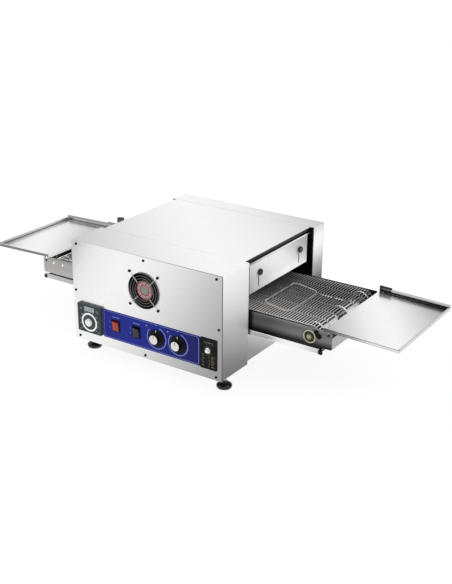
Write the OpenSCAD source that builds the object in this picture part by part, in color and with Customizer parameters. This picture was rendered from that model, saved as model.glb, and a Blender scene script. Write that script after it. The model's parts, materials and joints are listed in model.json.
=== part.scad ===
// Countertop conveyor oven for pizza: a wire belt runs through a heated tunnel between a front
// control box and a rear box, with a landing tray and a crumb tray at each end.
// Frame: +X along the belt to the right, +Y to the back, +Z up. The origin is on the
// table, midway between the four feet. All sizes are in millimetres.

/* [Casing] */
// Width of the control box and the rear box along the belt
casing_w = 560; // [540:10:600]
// Depth of the whole casing, front panel to back panel
casing_d = 594; // [594:2:640]
// Height of the casing above the feet
casing_h = 329; // [329:1:345]
// Height of the feet
foot_h = 48; // [40:1:60]
// Depth of the control box
front_box_d = 141; // [136:1:145]
// Depth of the rear box
rear_box_d = 67; // [60:1:70]
// Step from the end of the boxes in to the end of the tunnel
tunnel_step = 13; // [10:1:16]
// Thickness of the casing sheet
sheet = 1.2; // [1:0.1:1.5]
// Width of the folded flange that the outer panels screw to
flange_w = 16; // [14:1:18]

/* [Doors] */
// Height of a tunnel door
door_h = 88; // [84:1:92]
// Height of the bottom edge of a door above the belt at its lowest setting
door_gap = 44; // [40:1:48]
// Distance between the two adjusting slots of a door
slot_spacing = 240; // [200:10:260]
// Overall length of an adjusting slot
slot_len = 50; // [40:1:56]
// Radius of the shank of a thumbscrew
thumb_r = 2.5; // [2:0.5:2.5]

/* [Conveyor] */
// Distance between the drive shaft and the idler shaft
shaft_spacing = 964; // [900:4:980]
// Height of the shafts above the table
shaft_z = 191; // [189:1:193]
// Radius of the belt round a shaft, on its outer face
belt_r = 32; // [30:1:33]
// Thickness of the wire belt
belt_t = 4; // [3:0.5:4]
// Width of the belt
belt_w = 340; // [330:2:342]
// Number of cells along one straight run of the belt
belt_cells = 60; // [40:1:70]
// Radius of the drive and idler shafts
shaft_r = 6; // [5:0.5:8]
// Overall length of the side plates of the conveyor frame
frame_len = 1106; // [1090:2:1120]
// Height of the side plates
plate_h = 56.5; // [54:0.5:58]

/* [Landing trays] */
// Length of a landing tray along the belt
tray_len = 228; // [180:4:280]
// Fall of a tray from its inner to its outer edge
tray_fall = 7; // [4:1:8]
// Height of the front and outer lips of a tray
tray_lip = 10; // [8:1:14]
// Height of the rear lip of a tray
tray_rear_lip = 20; // [16:1:26]

/* [Crumb trays] */
// Length of a crumb tray
crumb_len = 508; // [480:4:508]
// Height of the side walls of a crumb tray
crumb_h = 15.8; // [12:0.1:15.8]
// How far the left crumb tray stands pulled out
crumb_pull = 30; // [0:5:60]

/* [Controls] */
// Height of the middle of the control row above the table
control_z = 128; // [126:1:130]
// Radius of the skirt of a heat knob
knob_skirt_r = 30; // [24:1:34]
// Radius of the cap of a heat knob
knob_cap_r = 14.7; // [12:0.1:16]
// How far the knobs stand out of the front panel
knob_proud = 18; // [16:1:22]
// Tilt of a rocker on either side of level
rocker_tilt = 8; // [4:1:8]

/* [Fan] */
// Square size of the fan frame
fan_size = 119; // [110:1:119]
// Height of the fan axis above the table
fan_z = 271; // [268:1:280]
// Number of fan blades
fan_blades = 7; // [5:1:9]

/* [Hidden] */
$fn = 64;

// Small clearances
fit = 0.05;    // radial, a shaft in its bore
gap = 0.3;     // between pieces that slide or turn past each other
seam = 0.3;    // the open seam between two casing sheets
slack = 0.2;   // a panel inside its shell
eps = 1;       // overrun of a cutting shape

// Casing planes
box_x = casing_w / 2;
front_y = -casing_d / 2;
back_y = casing_d / 2;
front_seam_y = front_y + front_box_d;
rear_seam_y = back_y - rear_box_d;
bottom_z = foot_h;
top_z = foot_h + casing_h;
tunnel_x = box_x - tunnel_step;
screw_x = box_x - 19;
screw_side_x = box_x - 10;
screw_inset_z = 10.5;
screw_r = 2;
screw_hole_r = 2.1;
screw_head_r = 5;
screw_head_t = 2.5;
screw_len = 9;

// Conveyor planes
shaft_x = shaft_spacing / 2;
belt_top_z = shaft_z + belt_r;
belt_y0 = -132;
belt_y1 = belt_y0 + belt_w;
belt_mid_y = (belt_y0 + belt_y1) / 2;
belt_in_r = belt_r - belt_t;
belt_bar_w = 5;
belt_rod_w = 3;
belt_wrap_rods = 9;
plate_t = 2;
plate_y0 = belt_y0 - 8;
plate_y1 = belt_y1 + 7;
plate_z = belt_top_z - 3.5 - plate_h;
plate_end_x = frame_len / 2;
track_y = [belt_y0 + 24, belt_mid_y - 1, belt_y1 - 33];
link_y = [-71, -19, 33, 95, 151];
bearing_r = 25;
bearing_t = 8;
tie_r = 3;
tie_z = belt_top_z - 13.5;
tie_x = [80, 266, 420];
low_tie_z = 197;
hook_r = 4;
hook_x = 541;
hook_z = 206;
loop_r = 2.8;
loop_x0 = tie_x[1];
loop_x1 = 354;
loop_z0 = tie_z + tie_r + loop_r + 0.2;
loop_z1 = low_tie_z + tie_r + loop_r + 0.2;
loop_y0 = -49;
loop_y1 = 141;
loop_bend_r = 26;

// Door planes
door_z0 = belt_top_z + door_gap;
door_z1 = door_z0 + door_h;
door_y0 = belt_y0 - 2;
door_y1 = belt_y1;
door_mid_y = 37;
door_x = tunnel_x + gap;
slot_r = thumb_r + gap;
slot_z0 = door_z0 + 10;
thumb_z = slot_z0 + slot_len - slot_r - gap;
thumb_head_r = 10;
thumb_head_t = 9;
strip_h = 7;
frame_depth = 12;
lug_t = 2;
lug_w = 24;
lug_h = 56;
cover_lip = 8;

// Chamber
ceiling_z = door_z1 + 1;
heater_x = [-200, -100, 0, 100, 200];
upper_heater_r = 5;
upper_heater_z = 320;
lower_heater_r = 4;
lower_heater_z = shaft_z;
heater_y0 = front_seam_y - 16;
heater_y1 = rear_seam_y + 12;
heater_clear = 0.6;

// Rails and crumb trays
rail_z = 144;
rail_leg = 13;
rail_up = 16;
bracket_x = 210;
bracket_w = 20;
crumb_t = 1;
crumb_inner_x = 8;
crumb_y0 = belt_y0 - 15;
crumb_y1 = belt_y1 + 10;
crumb_end_h = 8;
crumb_grip = 10;

// Chain drive from the motor to the drive shaft
chain_pitch = 6.35;
chain_teeth = 12;
chain_r = chain_pitch / (2 * sin(180 / chain_teeth));
chain_half_h = 3;
chain_plate_t = 0.9;
chain_y0 = plate_y0 + 1.4;
chain_y1 = belt_y0 - 1.6;
chain_pin_r = 1.1;
sprocket_t = 2;
sprocket_y = (chain_y0 + chain_y1) / 2;
motor_x = 150;
motor_shaft_r = 5;
motor_box = 60;
motor_box_y0 = -196;
motor_can_r = 29;
motor_can_y0 = -258;
bracket_y0 = front_seam_y - 4.4;
bracket_t = 3;
bracket_size = 70;

// Controls
overlay_t = 0.6;
overlay_x0 = -162;
overlay_x1 = 204;
overlay_z0 = 80;
overlay_h = 95.5;
speed_x = -212;
speed_size = 94;
speed_z0 = 82;
speed_proud = 10;
speed_body = 74;
speed_body_y1 = -245;
dial_z = 118.5;
dial_r = 13;
dial_pin_r = 3;
display_z = 161.4;
display_w = 40;
display_h = 15.6;
display_d = 1.5;
power_x = -112;
selector_x = -32;
bezel_w = 30;
bezel_h = 38;
bezel_t = 2.4;
switch_w = 28;
switch_h = 36;
switch_y1 = -268;
cavity_w = 25;
cavity_h = 34;
cavity_y1 = -282;
rocker_w = 23;
rocker_h = 30;
rocker_y = front_y + 3;
rocker_pin_r = 1.5;
upper_knob_x = 45;
lower_knob_x = 125;
knob_t = 3.5;
knob_body_r = 16.5;
knob_pin_r = 3;
regulator_r = 20;
regulator_y1 = -262;
plate_x0 = 205;
plate_x1 = 265;
plate_z0 = 78;
plate_z1 = 177;
cutout_t = 2;
reset_x = 233;
reset_z = 138;
reset_r = 5;
reset_proud = 8;
reset_travel = 2;
cutout_body_w = 30;
cutout_body_h = 36;
cutout_body_y1 = -268;

// Fan
fan_y0 = front_y + sheet;
fan_d = 38;
fan_duct_r = 57;
fan_hub_r = 31;
fan_tip_r = 55;
fan_pin_r = 3;
fan_stator_t = 5;
fan_strut_w = 5;
fan_screw = 52.5;
fan_screw_r = 2;
blade_w = 24;
blade_t = 2;
blade_pitch = 38;
guard_wire_r = 1;
guard_leg_r = 1.2;
guard_y = front_y - 3.2;
guard_rings = [31, 39.5, 48, 56.5];

// Feet and gland
foot_x = 252;
foot_y = 240;
foot_r = 24;
foot_dome_h = 20;
stem_r = 5;
stem_len = 16;
nut_r = 9;
nut_t = 6;
gland_x = -200;
gland_z = 100;
gland_bore_r = 5;
gland_body_r = 8;
gland_nut_r = 13;
gland_nut_t = 6;

// ---- helpers ----

// A block between two corners
module block(low, high) {
    translate(low)
        cube(high - low);
}

// A 2D shape drawn in X and Z, extruded from y0 to y1
module slab_xz(y0, y1) {
    translate([0, y1, 0])
        rotate([90, 0, 0])
            linear_extrude(y1 - y0)
                children();
}

// A 2D shape drawn in Y and Z, extruded from x0 to x1
module slab_yz(x0, x1) {
    translate([x0, 0, 0])
        rotate([90, 0, 90])
            linear_extrude(x1 - x0)
                children();
}

// A round bar along Y
module bar_y(x, z, r, y0, y1) {
    translate([x, y0, z])
        rotate([-90, 0, 0])
            cylinder(r = r, h = y1 - y0);
}

// A round bar along X
module bar_x(y, z, r, x0, x1) {
    translate([x0, y, z])
        rotate([0, 90, 0])
            cylinder(r = r, h = x1 - x0);
}

// A rectangle between two corners
module rect(low, high) {
    translate(low)
        square(high - low);
}

// A rectangle with round corners
module round_rect(low, high, r) {
    rect([low[0] + r, low[1]], [high[0] - r, high[1]]);
    rect([low[0], low[1] + r], [high[0], high[1] - r]);
    for (x = [low[0] + r, high[0] - r])
        for (y = [low[1] + r, high[1] - r])
            translate([x, y])
                circle(r = r);
}

// Places its children at the eight panel screws
module at_screws() {
    for (x = [-screw_x, 0, screw_x])
        for (z = [bottom_z + screw_inset_z, top_z - screw_inset_z])
            translate([x, z])
                children();
    for (x = [-screw_side_x, screw_side_x])
        translate([x, bottom_z + casing_h / 2])
            children();
}

// Copies its children to both ends of the conveyor
module both_ends() {
    children();
    mirror([1, 0, 0])
        children();
}

// ---- casing ----

// A folded shell, open to front and back, with a flange for its outer panel
module box_shell(y0, y1, flange_y0) {
    difference() {
        union() {
            slab_xz(y0, y1)
                difference() {
                    rect([-box_x, bottom_z], [box_x, top_z]);
                    rect([-box_x + sheet, bottom_z + sheet], [box_x - sheet, top_z - sheet]);
                }
            slab_xz(flange_y0, flange_y0 + sheet)
                difference() {
                    rect([-box_x + sheet / 2, bottom_z + sheet / 2], [box_x - sheet / 2, top_z - sheet / 2]);
                    rect([-box_x + flange_w, bottom_z + flange_w], [box_x - flange_w, top_z - flange_w]);
                }
        }
        slab_xz(flange_y0 - eps, flange_y0 + sheet + eps)
            at_screws()
                circle(r = screw_hole_r);
        for (x = [-foot_x, foot_x])
            for (y = [-foot_y, foot_y])
                translate([x, y, bottom_z - eps])
                    cylinder(r = stem_r + fit, h = sheet + 2 * eps);
    }
}

module control_box_shell() {
    color("gainsboro")
        box_shell(front_y + sheet, front_seam_y, front_y + sheet);
}

module rear_box_shell() {
    color("gainsboro")
        box_shell(rear_seam_y, back_y - sheet, back_y - 2 * sheet);
}

module front_panel() {
    color("whitesmoke")
        slab_xz(front_y, front_y + sheet)
            difference() {
                rect([-box_x, bottom_z], [box_x, top_z]);
                at_screws()
                    circle(r = screw_hole_r);
                translate([0, fan_z])
                    circle(r = fan_duct_r + 0.5);
                for (x = [power_x, selector_x])
                    translate([x, control_z])
                        square([switch_w + slack, switch_h + slack], center = true);
                for (x = [upper_knob_x, lower_knob_x])
                    translate([x, control_z])
                        circle(r = knob_pin_r + 1);
                translate([speed_x, speed_z0 + speed_size / 2])
                    square(speed_body + slack, center = true);
                translate([reset_x, reset_z])
                    square([cutout_body_w + slack, cutout_body_h + slack], center = true);
            }
}

// The wall between a box and the tunnel, with a clearance hole for each heater
module inner_wall(y0) {
    slab_xz(y0, y0 + sheet)
        difference() {
            rect([-box_x + sheet + slack, bottom_z + sheet + slack], [box_x - sheet - slack, top_z - sheet - slack]);
            for (x = heater_x) {
                translate([x, upper_heater_z])
                    circle(r = upper_heater_r + heater_clear);
                translate([x, lower_heater_z])
                    circle(r = lower_heater_r + heater_clear);
            }
            translate([motor_x, shaft_z])
                circle(r = motor_shaft_r + 2);
        }
}

module control_box_inner_wall() {
    color("gainsboro")
        inner_wall(front_seam_y - sheet);
}

module rear_box_inner_wall() {
    color("dimgray")
        inner_wall(rear_seam_y);
}

module back_panel() {
    louvre_rows = 6;
    louvre_pitch = 14;
    louvre_w = 90;
    louvre_h = 5;
    lowest_z = 250;
    color("whitesmoke")
        slab_xz(back_y - sheet, back_y)
            difference() {
                rect([-box_x, bottom_z], [box_x, top_z]);
                at_screws()
                    circle(r = screw_hole_r);
                translate([gland_x, gland_z])
                    circle(r = gland_body_r + fit);
                for (x = [-150, 0, 150])
                    for (row = [0 : louvre_rows - 1])
                        translate([x, lowest_z + row * louvre_pitch])
                            square([louvre_w, louvre_h], center = true);
            }
}

module panel_screws() {
    color("black")
        for (side = [0, 1])
            mirror([0, side, 0]) {
                slab_xz(front_y - screw_head_t, front_y)
                    at_screws()
                        circle(r = screw_head_r);
                slab_xz(front_y - eps, front_y + screw_len)
                    at_screws()
                        circle(r = screw_r);
            }
}

module tunnel_cover() {
    y0 = front_seam_y + seam;
    y1 = rear_seam_y - seam;
    color("whitesmoke") {
        block([-tunnel_x, y0, top_z - sheet], [tunnel_x, y1, top_z]);
        both_ends()
            block([tunnel_x - sheet, y0, top_z - cover_lip], [tunnel_x, y1, top_z]);
    }
}

module base_pan() {
    y0 = front_seam_y + seam;
    y1 = rear_seam_y - seam;
    color("silver") {
        block([-tunnel_x, y0, bottom_z], [tunnel_x, y1, bottom_z + sheet]);
        both_ends()
            block([tunnel_x - sheet, y0, bottom_z], [tunnel_x, y1, rail_z]);
    }
}

// The angle over each mouth, with two threaded lugs that the door hangs on
module end_frames() {
    y0 = front_seam_y + seam;
    y1 = rear_seam_y - seam;
    color("gainsboro")
        both_ends()
            difference() {
                union() {
                    block([tunnel_x - sheet, y0, door_z1], [tunnel_x, y1, door_z1 + strip_h]);
                    block([tunnel_x - frame_depth, y0, door_z1 - sheet], [tunnel_x, y1, door_z1]);
                    for (y = [door_mid_y - slot_spacing / 2, door_mid_y + slot_spacing / 2])
                        block([tunnel_x - lug_t, y - lug_w / 2, door_z1 - lug_h],
                            [tunnel_x, y + lug_w / 2, door_z1]);
                }
                for (y = [door_mid_y - slot_spacing / 2, door_mid_y + slot_spacing / 2])
                    bar_x(y, thumb_z, thumb_r + fit, tunnel_x - frame_depth, tunnel_x + eps);
            }
}

// A sliding door for the right-hand mouth
module door() {
    slab_yz(door_x, door_x + sheet)
        difference() {
            rect([door_y0, door_z0], [door_y1, door_z1]);
            for (y = [door_mid_y - slot_spacing / 2, door_mid_y + slot_spacing / 2])
                round_rect([y - slot_r, slot_z0], [y + slot_r, slot_z0 + slot_len], slot_r - 0.01);
        }
}

module right_door() {
    color("whitesmoke")
        door();
}

module left_door() {
    color("whitesmoke")
        mirror([1, 0, 0])
            door();
}

// A thumbscrew for the right-hand door, at depth y
module thumbscrew(y) {
    head_x = door_x + sheet + gap;
    bar_x(y, thumb_z, thumb_r, tunnel_x - lug_t - 3, head_x + eps);
    bar_x(y, thumb_z, thumb_head_r - 3, head_x, head_x + 3);
    bar_x(y, thumb_z, thumb_head_r, head_x + 2, head_x + thumb_head_t);
}

module right_door_front_thumbscrew() {
    color("black")
        thumbscrew(door_mid_y - slot_spacing / 2);
}

module right_door_rear_thumbscrew() {
    color("black")
        thumbscrew(door_mid_y + slot_spacing / 2);
}

module left_door_front_thumbscrew() {
    color("black")
        mirror([1, 0, 0])
            thumbscrew(door_mid_y - slot_spacing / 2);
}

module left_door_rear_thumbscrew() {
    color("black")
        mirror([1, 0, 0])
            thumbscrew(door_mid_y + slot_spacing / 2);
}

// ---- heating chamber ----

module chamber_ceiling() {
    inset = frame_depth + 1;
    color("silver")
        block([-tunnel_x + inset, front_seam_y + seam, ceiling_z],
            [tunnel_x - inset, rear_seam_y - seam, ceiling_z + sheet]);
}

module insulation_blanket() {
    inset = 30;
    color("ivory")
        block([-tunnel_x + inset, front_seam_y + 4, ceiling_z + sheet + slack],
            [tunnel_x - inset, rear_seam_y - 4, top_z - sheet - slack]);
}

module upper_heaters() {
    color("dimgray")
        for (x = heater_x)
            bar_y(x, upper_heater_z, upper_heater_r, heater_y0, heater_y1);
}

module lower_heaters() {
    color("dimgray")
        for (x = heater_x)
            bar_y(x, lower_heater_z, lower_heater_r, heater_y0, heater_y1);
}

// ---- conveyor frame ----

// Outline of a side plate in X and Z, lowered and slotted at its ends for the trays
module plate_outline() {
    end_drop = 4;
    end_x = 520;
    difference() {
        union() {
            rect([-end_x, plate_z], [end_x, plate_z + plate_h]);
            round_rect([-plate_end_x, plate_z], [plate_end_x, plate_z + plate_h - end_drop], 3);
        }
        for (x = [-hook_x, hook_x])
            translate([x, hook_z]) {
                circle(r = hook_r + gap);
                rect([-hook_r - gap, 0], [hook_r + gap, plate_h]);
            }
        for (x = heater_x)
            translate([x, lower_heater_z])
                circle(r = lower_heater_r + heater_clear);
    }
}

module front_side_plate() {
    color("dimgray")
        slab_xz(plate_y0 - plate_t, plate_y0)
            difference() {
                plate_outline();
                translate([shaft_x, shaft_z])
                    circle(r = shaft_r + 1);
                translate([motor_x, shaft_z])
                    circle(r = motor_shaft_r + 1);
            }
}

module rear_side_plate() {
    color("dimgray")
        slab_xz(plate_y1, plate_y1 + plate_t)
            difference() {
                plate_outline();
                translate([shaft_x, shaft_z])
                    circle(r = shaft_r + 1);
            }
}

// Angle rails along both inner walls: they carry the side plates and the crumb trays
module support_rails() {
    rail_x = tunnel_x - 5;
    color("silver") {
        block([-rail_x, front_seam_y + seam, rail_z - sheet],
            [rail_x, front_seam_y + seam + rail_leg, rail_z]);
        block([-rail_x, front_seam_y + seam, rail_z - sheet],
            [rail_x, front_seam_y + seam + sheet, rail_z + rail_up]);
        block([-rail_x, rear_seam_y - seam - rail_leg, rail_z - sheet],
            [rail_x, rear_seam_y - seam, rail_z]);
        block([-rail_x, rear_seam_y - seam - sheet, rail_z - sheet],
            [rail_x, rear_seam_y - seam, rail_z + rail_up]);
        both_ends() {
            block([bracket_x, front_seam_y + seam, rail_z + rail_up - 2],
                [bracket_x + bracket_w, front_seam_y + seam + sheet, plate_z + 24]);
            block([bracket_x, front_seam_y + seam, plate_z + 1],
                [bracket_x + bracket_w, plate_y0 - plate_t, plate_z + 24]);
            block([bracket_x, rear_seam_y - seam - sheet, rail_z + rail_up - 2],
                [bracket_x + bracket_w, rear_seam_y - seam, plate_z + 24]);
            block([bracket_x, plate_y1 + plate_t, plate_z + 1],
                [bracket_x + bracket_w, rear_seam_y - seam, plate_z + 24]);
        }
    }
}

// Round ties between the side plates, the hook rods of the trays and the end plates
module frame_cross_ties() {
    end_plate_h = 36;
    color("silver")
        both_ends() {
            for (x = tie_x)
                bar_y(x, tie_z, tie_r, plate_y0, plate_y1);
            bar_y(loop_x1, low_tie_z, tie_r, plate_y0, plate_y1);
            bar_y(hook_x, hook_z, hook_r, plate_y0 - plate_t - 1, plate_y1 + plate_t + 1);
            block([plate_end_x - 3, plate_y0, plate_z], [plate_end_x - 1, plate_y1, plate_z + end_plate_h]);
        }
}

// A closed rod loop just outside each mouth, sloping down from one tie to the next
module belt_support_rods() {
    reach = loop_x1 - loop_x0;
    fall = loop_z0 - loop_z1;
    len = sqrt(reach * reach + fall * fall);
    color("lightgray")
        both_ends()
            translate([loop_x0, 0, loop_z0])
                rotate([0, atan(fall / reach), 0]) {
                    for (x = [0, len])
                        bar_y(x, 0, loop_r, loop_y0 + loop_bend_r, loop_y1 - loop_bend_r);
                    for (y = [loop_y0, loop_y1])
                        bar_x(y, 0, loop_r, loop_bend_r, len - loop_bend_r);
                    loop_bend(len - loop_bend_r, loop_y1 - loop_bend_r, 0);
                    loop_bend(loop_bend_r, loop_y1 - loop_bend_r, 90);
                    loop_bend(loop_bend_r, loop_y0 + loop_bend_r, 180);
                    loop_bend(len - loop_bend_r, loop_y0 + loop_bend_r, 270);
                }
}

// A quarter bend of the support rod
module loop_bend(x, y, turn) {
    translate([x, y, 0])
        rotate([0, 0, turn])
            rotate_extrude(angle = 90)
                translate([loop_bend_r, 0])
                    circle(r = loop_r);
}

// Middle lines of the bars along the belt: its two edges and its columns of links
function belt_bars() = concat([belt_y0 + belt_bar_w / 2], link_y, [belt_y1 - belt_bar_w / 2]);

// One straight run of the belt: rods across, link bars along
module belt_run(z0) {
    pitch = shaft_spacing / belt_cells;
    bars = belt_bars();
    translate([0, 0, z0])
        linear_extrude(belt_t)
            difference() {
                rect([-shaft_x, belt_y0], [shaft_x, belt_y1]);
                for (cell = [0 : belt_cells - 1])
                    for (lane = [0 : len(bars) - 2])
                        rect([-shaft_x + cell * pitch + belt_rod_w / 2, bars[lane] + belt_bar_w / 2],
                            [-shaft_x + (cell + 1) * pitch - belt_rod_w / 2, bars[lane + 1] - belt_bar_w / 2]);
            }
}

// Half a turn of the belt round the right-hand shaft
module belt_wrap() {
    for (y = belt_bars())
        slab_xz(y - belt_bar_w / 2, y + belt_bar_w / 2)
            translate([shaft_x, shaft_z])
                difference() {
                    circle(r = belt_r);
                    circle(r = belt_in_r);
                    rect([-2 * belt_r, -2 * belt_r], [0, 2 * belt_r]);
                }
    for (rod = [1 : belt_wrap_rods])
        translate([shaft_x, 0, shaft_z])
            rotate([0, 90 - 180 * rod / (belt_wrap_rods + 1), 0])
                bar_y(belt_r - belt_t / 2, 0, belt_rod_w / 2, belt_y0, belt_y1);
}

module conveyor_belt() {
    color("darkgray") {
        belt_run(belt_top_z - belt_t);
        belt_run(shaft_z - belt_r);
        both_ends()
            belt_wrap();
    }
}

// ---- shafts, sprockets and drive ----

module drive_shaft() {
    color("silver")
        bar_y(shaft_x, shaft_z, shaft_r, plate_y0 - plate_t - bearing_t + 0.5, plate_y1 + plate_t + bearing_t);
}

module idler_shaft() {
    color("silver")
        bar_y(-shaft_x, shaft_z, shaft_r, plate_y0 + 1, plate_y1 - 1);
}

// A toothed wheel in X and Z
module wheel_outline(root_r, tip_r, teeth, bore_r) {
    half = 180 * 0.45 / teeth;
    difference() {
        union() {
            circle(r = root_r);
            for (tooth = [0 : teeth - 1])
                rotate(tooth * 360 / teeth)
                    polygon([
                        [0, -root_r * sin(half)],
                        [root_r * cos(half), -root_r * sin(half)],
                        [tip_r, -root_r * sin(half) / 3],
                        [tip_r, root_r * sin(half) / 3],
                        [root_r * cos(half), root_r * sin(half)],
                        [0, root_r * sin(half)]
                    ]);
        }
        circle(r = bore_r);
    }
}

// The three wheels that carry the belt round a shaft, two of them with a long drum
module belt_wheels(x) {
    wheel_t = 7;
    hub_r = 11;
    hub_t = 24;
    drum_len = 86;
    drum_r = belt_in_r - 2;
    tip_r = belt_in_r - gap - 0.4;
    for (y = track_y)
        slab_xz(y - wheel_t / 2, y + wheel_t / 2)
            translate([x, shaft_z])
                wheel_outline(drum_r, tip_r, 12, shaft_r + fit);
    for (track = [0, 1])
        slab_xz(track_y[track], track_y[track] + drum_len)
            translate([x, shaft_z])
                difference() {
                    circle(r = drum_r);
                    circle(r = shaft_r + fit);
                }
    slab_xz(track_y[2] - hub_t / 2, track_y[2] + hub_t / 2)
        translate([x, shaft_z])
            difference() {
                circle(r = hub_r);
                circle(r = shaft_r + fit);
            }
}

module drive_sprockets() {
    color("gainsboro")
        belt_wheels(shaft_x);
}

module idler_sprockets() {
    color("gainsboro")
        belt_wheels(-shaft_x);
}

// Flanged bearings outside the plates for the drive shaft, and blocks inside them for the idler
module shaft_bearings() {
    block_w = 56;
    block_h = 34;
    block_t = 6.5;
    stud_x = 20;
    stud_z = 11;
    color("darkgoldenrod") {
        difference() {
            union() {
                bar_y(shaft_x, shaft_z, bearing_r, plate_y0 - plate_t - bearing_t, plate_y0 - plate_t);
                bar_y(shaft_x, shaft_z, bearing_r, plate_y1 + plate_t, plate_y1 + plate_t + bearing_t);
            }
            bar_y(shaft_x, shaft_z, shaft_r + fit, plate_y0 - 40, plate_y1 + 40);
        }
        difference() {
            union() {
                block([-shaft_x - block_w / 2, plate_y0, shaft_z - block_h / 2],
                    [-shaft_x + block_w / 2, plate_y0 + block_t, shaft_z + block_h / 2]);
                block([-shaft_x - block_w / 2, plate_y1 - block_t, shaft_z - block_h / 2],
                    [-shaft_x + block_w / 2, plate_y1, shaft_z + block_h / 2]);
            }
            bar_y(-shaft_x, shaft_z, shaft_r + fit, plate_y0 - eps, plate_y1 + eps);
        }
        for (x = [-shaft_x - stud_x - 5, -shaft_x + stud_x - 5]) {
            bar_y(x, shaft_z + stud_z, 4, plate_y0 - plate_t - 2, plate_y0 - plate_t);
            bar_y(x, shaft_z + stud_z, 4, plate_y1 + plate_t, plate_y1 + plate_t + 2);
        }
    }
}

module gear_motor() {
    color("gray")
        difference() {
            union() {
                block([motor_x - motor_box / 2, motor_box_y0, shaft_z - motor_box / 2],
                    [motor_x + motor_box / 2, bracket_y0 - slack, shaft_z + motor_box / 2]);
                bar_y(motor_x, shaft_z, motor_can_r, motor_can_y0, motor_box_y0);
            }
            bar_y(motor_x, shaft_z, motor_shaft_r + fit, motor_box_y0 + 6, front_seam_y);
        }
}

module motor_bracket() {
    lug = bracket_size / 2 - 4;
    color("silver")
        slab_xz(bracket_y0, bracket_y0 + bracket_t)
            translate([motor_x, shaft_z])
                difference() {
                    round_rect([-bracket_size / 2, -bracket_size / 2], [bracket_size / 2, bracket_size / 2], 6);
                    circle(r = motor_shaft_r + 3);
                    for (x = [-lug, lug])
                        for (z = [-lug, lug])
                            translate([x, z])
                                circle(r = 2);
                }
}

// The motor's output shaft with its small chain wheel
module motor_sprocket() {
    color("dimgray") {
        bar_y(motor_x, shaft_z, motor_shaft_r, motor_box_y0 + 8, sprocket_y + sprocket_t);
        slab_xz(sprocket_y - sprocket_t / 2, sprocket_y + sprocket_t / 2)
            translate([motor_x, shaft_z])
                wheel_outline(chain_r - 1.8, chain_r + 1.6, chain_teeth, motor_shaft_r - 0.5);
    }
}

module driven_sprocket() {
    color("dimgray")
        slab_xz(sprocket_y - sprocket_t / 2, sprocket_y + sprocket_t / 2)
            translate([shaft_x, shaft_z])
                wheel_outline(chain_r - 1.8, chain_r + 1.6, chain_teeth, shaft_r + fit);
}

// The outline of the chain loop at a given distance from its pitch line
module chain_outline(offset_r) {
    r = chain_r + offset_r;
    rect([motor_x, shaft_z - r], [shaft_x, shaft_z + r]);
    for (x = [motor_x, shaft_x])
        translate([x, shaft_z])
            circle(r = r);
}

// Two rows of link plates, pinned together along the straight runs
module drive_chain() {
    pins = floor((shaft_x - motor_x) / (4 * chain_pitch));
    color("dimgray") {
        for (y = [chain_y0, chain_y1 - chain_plate_t])
            slab_xz(y, y + chain_plate_t)
                difference() {
                    chain_outline(chain_half_h);
                    chain_outline(-chain_half_h);
                }
        for (pin = [1 : pins - 1])
            for (z = [shaft_z - chain_r, shaft_z + chain_r])
                bar_y(motor_x + 4 * chain_pitch * pin, z, chain_pin_r, chain_y0, chain_y1);
    }
}

// ---- controls ----

module control_overlay() {
    color("mediumblue")
        slab_xz(front_y - overlay_t, front_y)
            difference() {
                round_rect([overlay_x0, overlay_z0], [overlay_x1, overlay_z0 + overlay_h], 3);
                for (x = [power_x, selector_x])
                    translate([x, control_z])
                        square([bezel_w + slack, bezel_h + slack], center = true);
                for (x = [upper_knob_x, lower_knob_x])
                    translate([x, control_z])
                        circle(r = knob_pin_r + 1);
            }
}

module speed_controller() {
    z_mid = speed_z0 + speed_size / 2;
    color("darkslategray")
        difference() {
            union() {
                slab_xz(front_y - speed_proud, front_y)
                    round_rect([speed_x - speed_size / 2, speed_z0],
                        [speed_x + speed_size / 2, speed_z0 + speed_size], 3);
                slab_xz(front_y, speed_body_y1)
                    translate([speed_x, z_mid])
                        square(speed_body, center = true);
            }
            block([speed_x - display_w / 2, front_y - speed_proud - eps, display_z - display_h / 2],
                [speed_x + display_w / 2, front_y - speed_proud + display_d, display_z + display_h / 2]);
            bar_y(speed_x, dial_z, dial_pin_r + fit, front_y - speed_proud - eps, front_y + 10);
        }
}

module speed_dial() {
    color("gainsboro") {
        bar_y(speed_x, dial_z, dial_r, front_y - knob_proud, front_y - speed_proud - gap);
        bar_y(speed_x, dial_z, dial_pin_r, front_y - speed_proud - eps, front_y + 8);
    }
}

// Bezel and body of the two rocker switches
module switch_housings() {
    color("black")
        for (x = [power_x, selector_x])
            difference() {
                union() {
                    slab_xz(front_y - bezel_t, front_y)
                        translate([x, control_z])
                            square([bezel_w, bezel_h], center = true);
                    slab_xz(front_y, switch_y1)
                        translate([x, control_z])
                            square([switch_w, switch_h], center = true);
                }
                slab_xz(front_y - bezel_t - eps, cavity_y1)
                    translate([x, control_z])
                        square([cavity_w, cavity_h], center = true);
                bar_x(rocker_y, control_z, rocker_pin_r + fit, x - switch_w / 2 - eps, x + switch_w / 2 + eps);
            }
}

// A rocker, tipped to its rest side
module rocker(x) {
    half = rocker_h / 2;
    translate([0, rocker_y, control_z])
        rotate([rocker_tilt, 0, 0]) {
            slab_yz(x - rocker_w / 2, x + rocker_w / 2)
                polygon([[-9, -half], [-7, 0], [-9, half], [0, half - 1], [6, 6], [6, -6], [0, 1 - half]]);
            bar_x(0, 0, rocker_pin_r, x - switch_w / 2, x + switch_w / 2);
        }
}

module power_rocker() {
    color("firebrick")
        rocker(power_x);
}

module selector_rocker() {
    color("black")
        rocker(selector_x);
}

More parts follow.
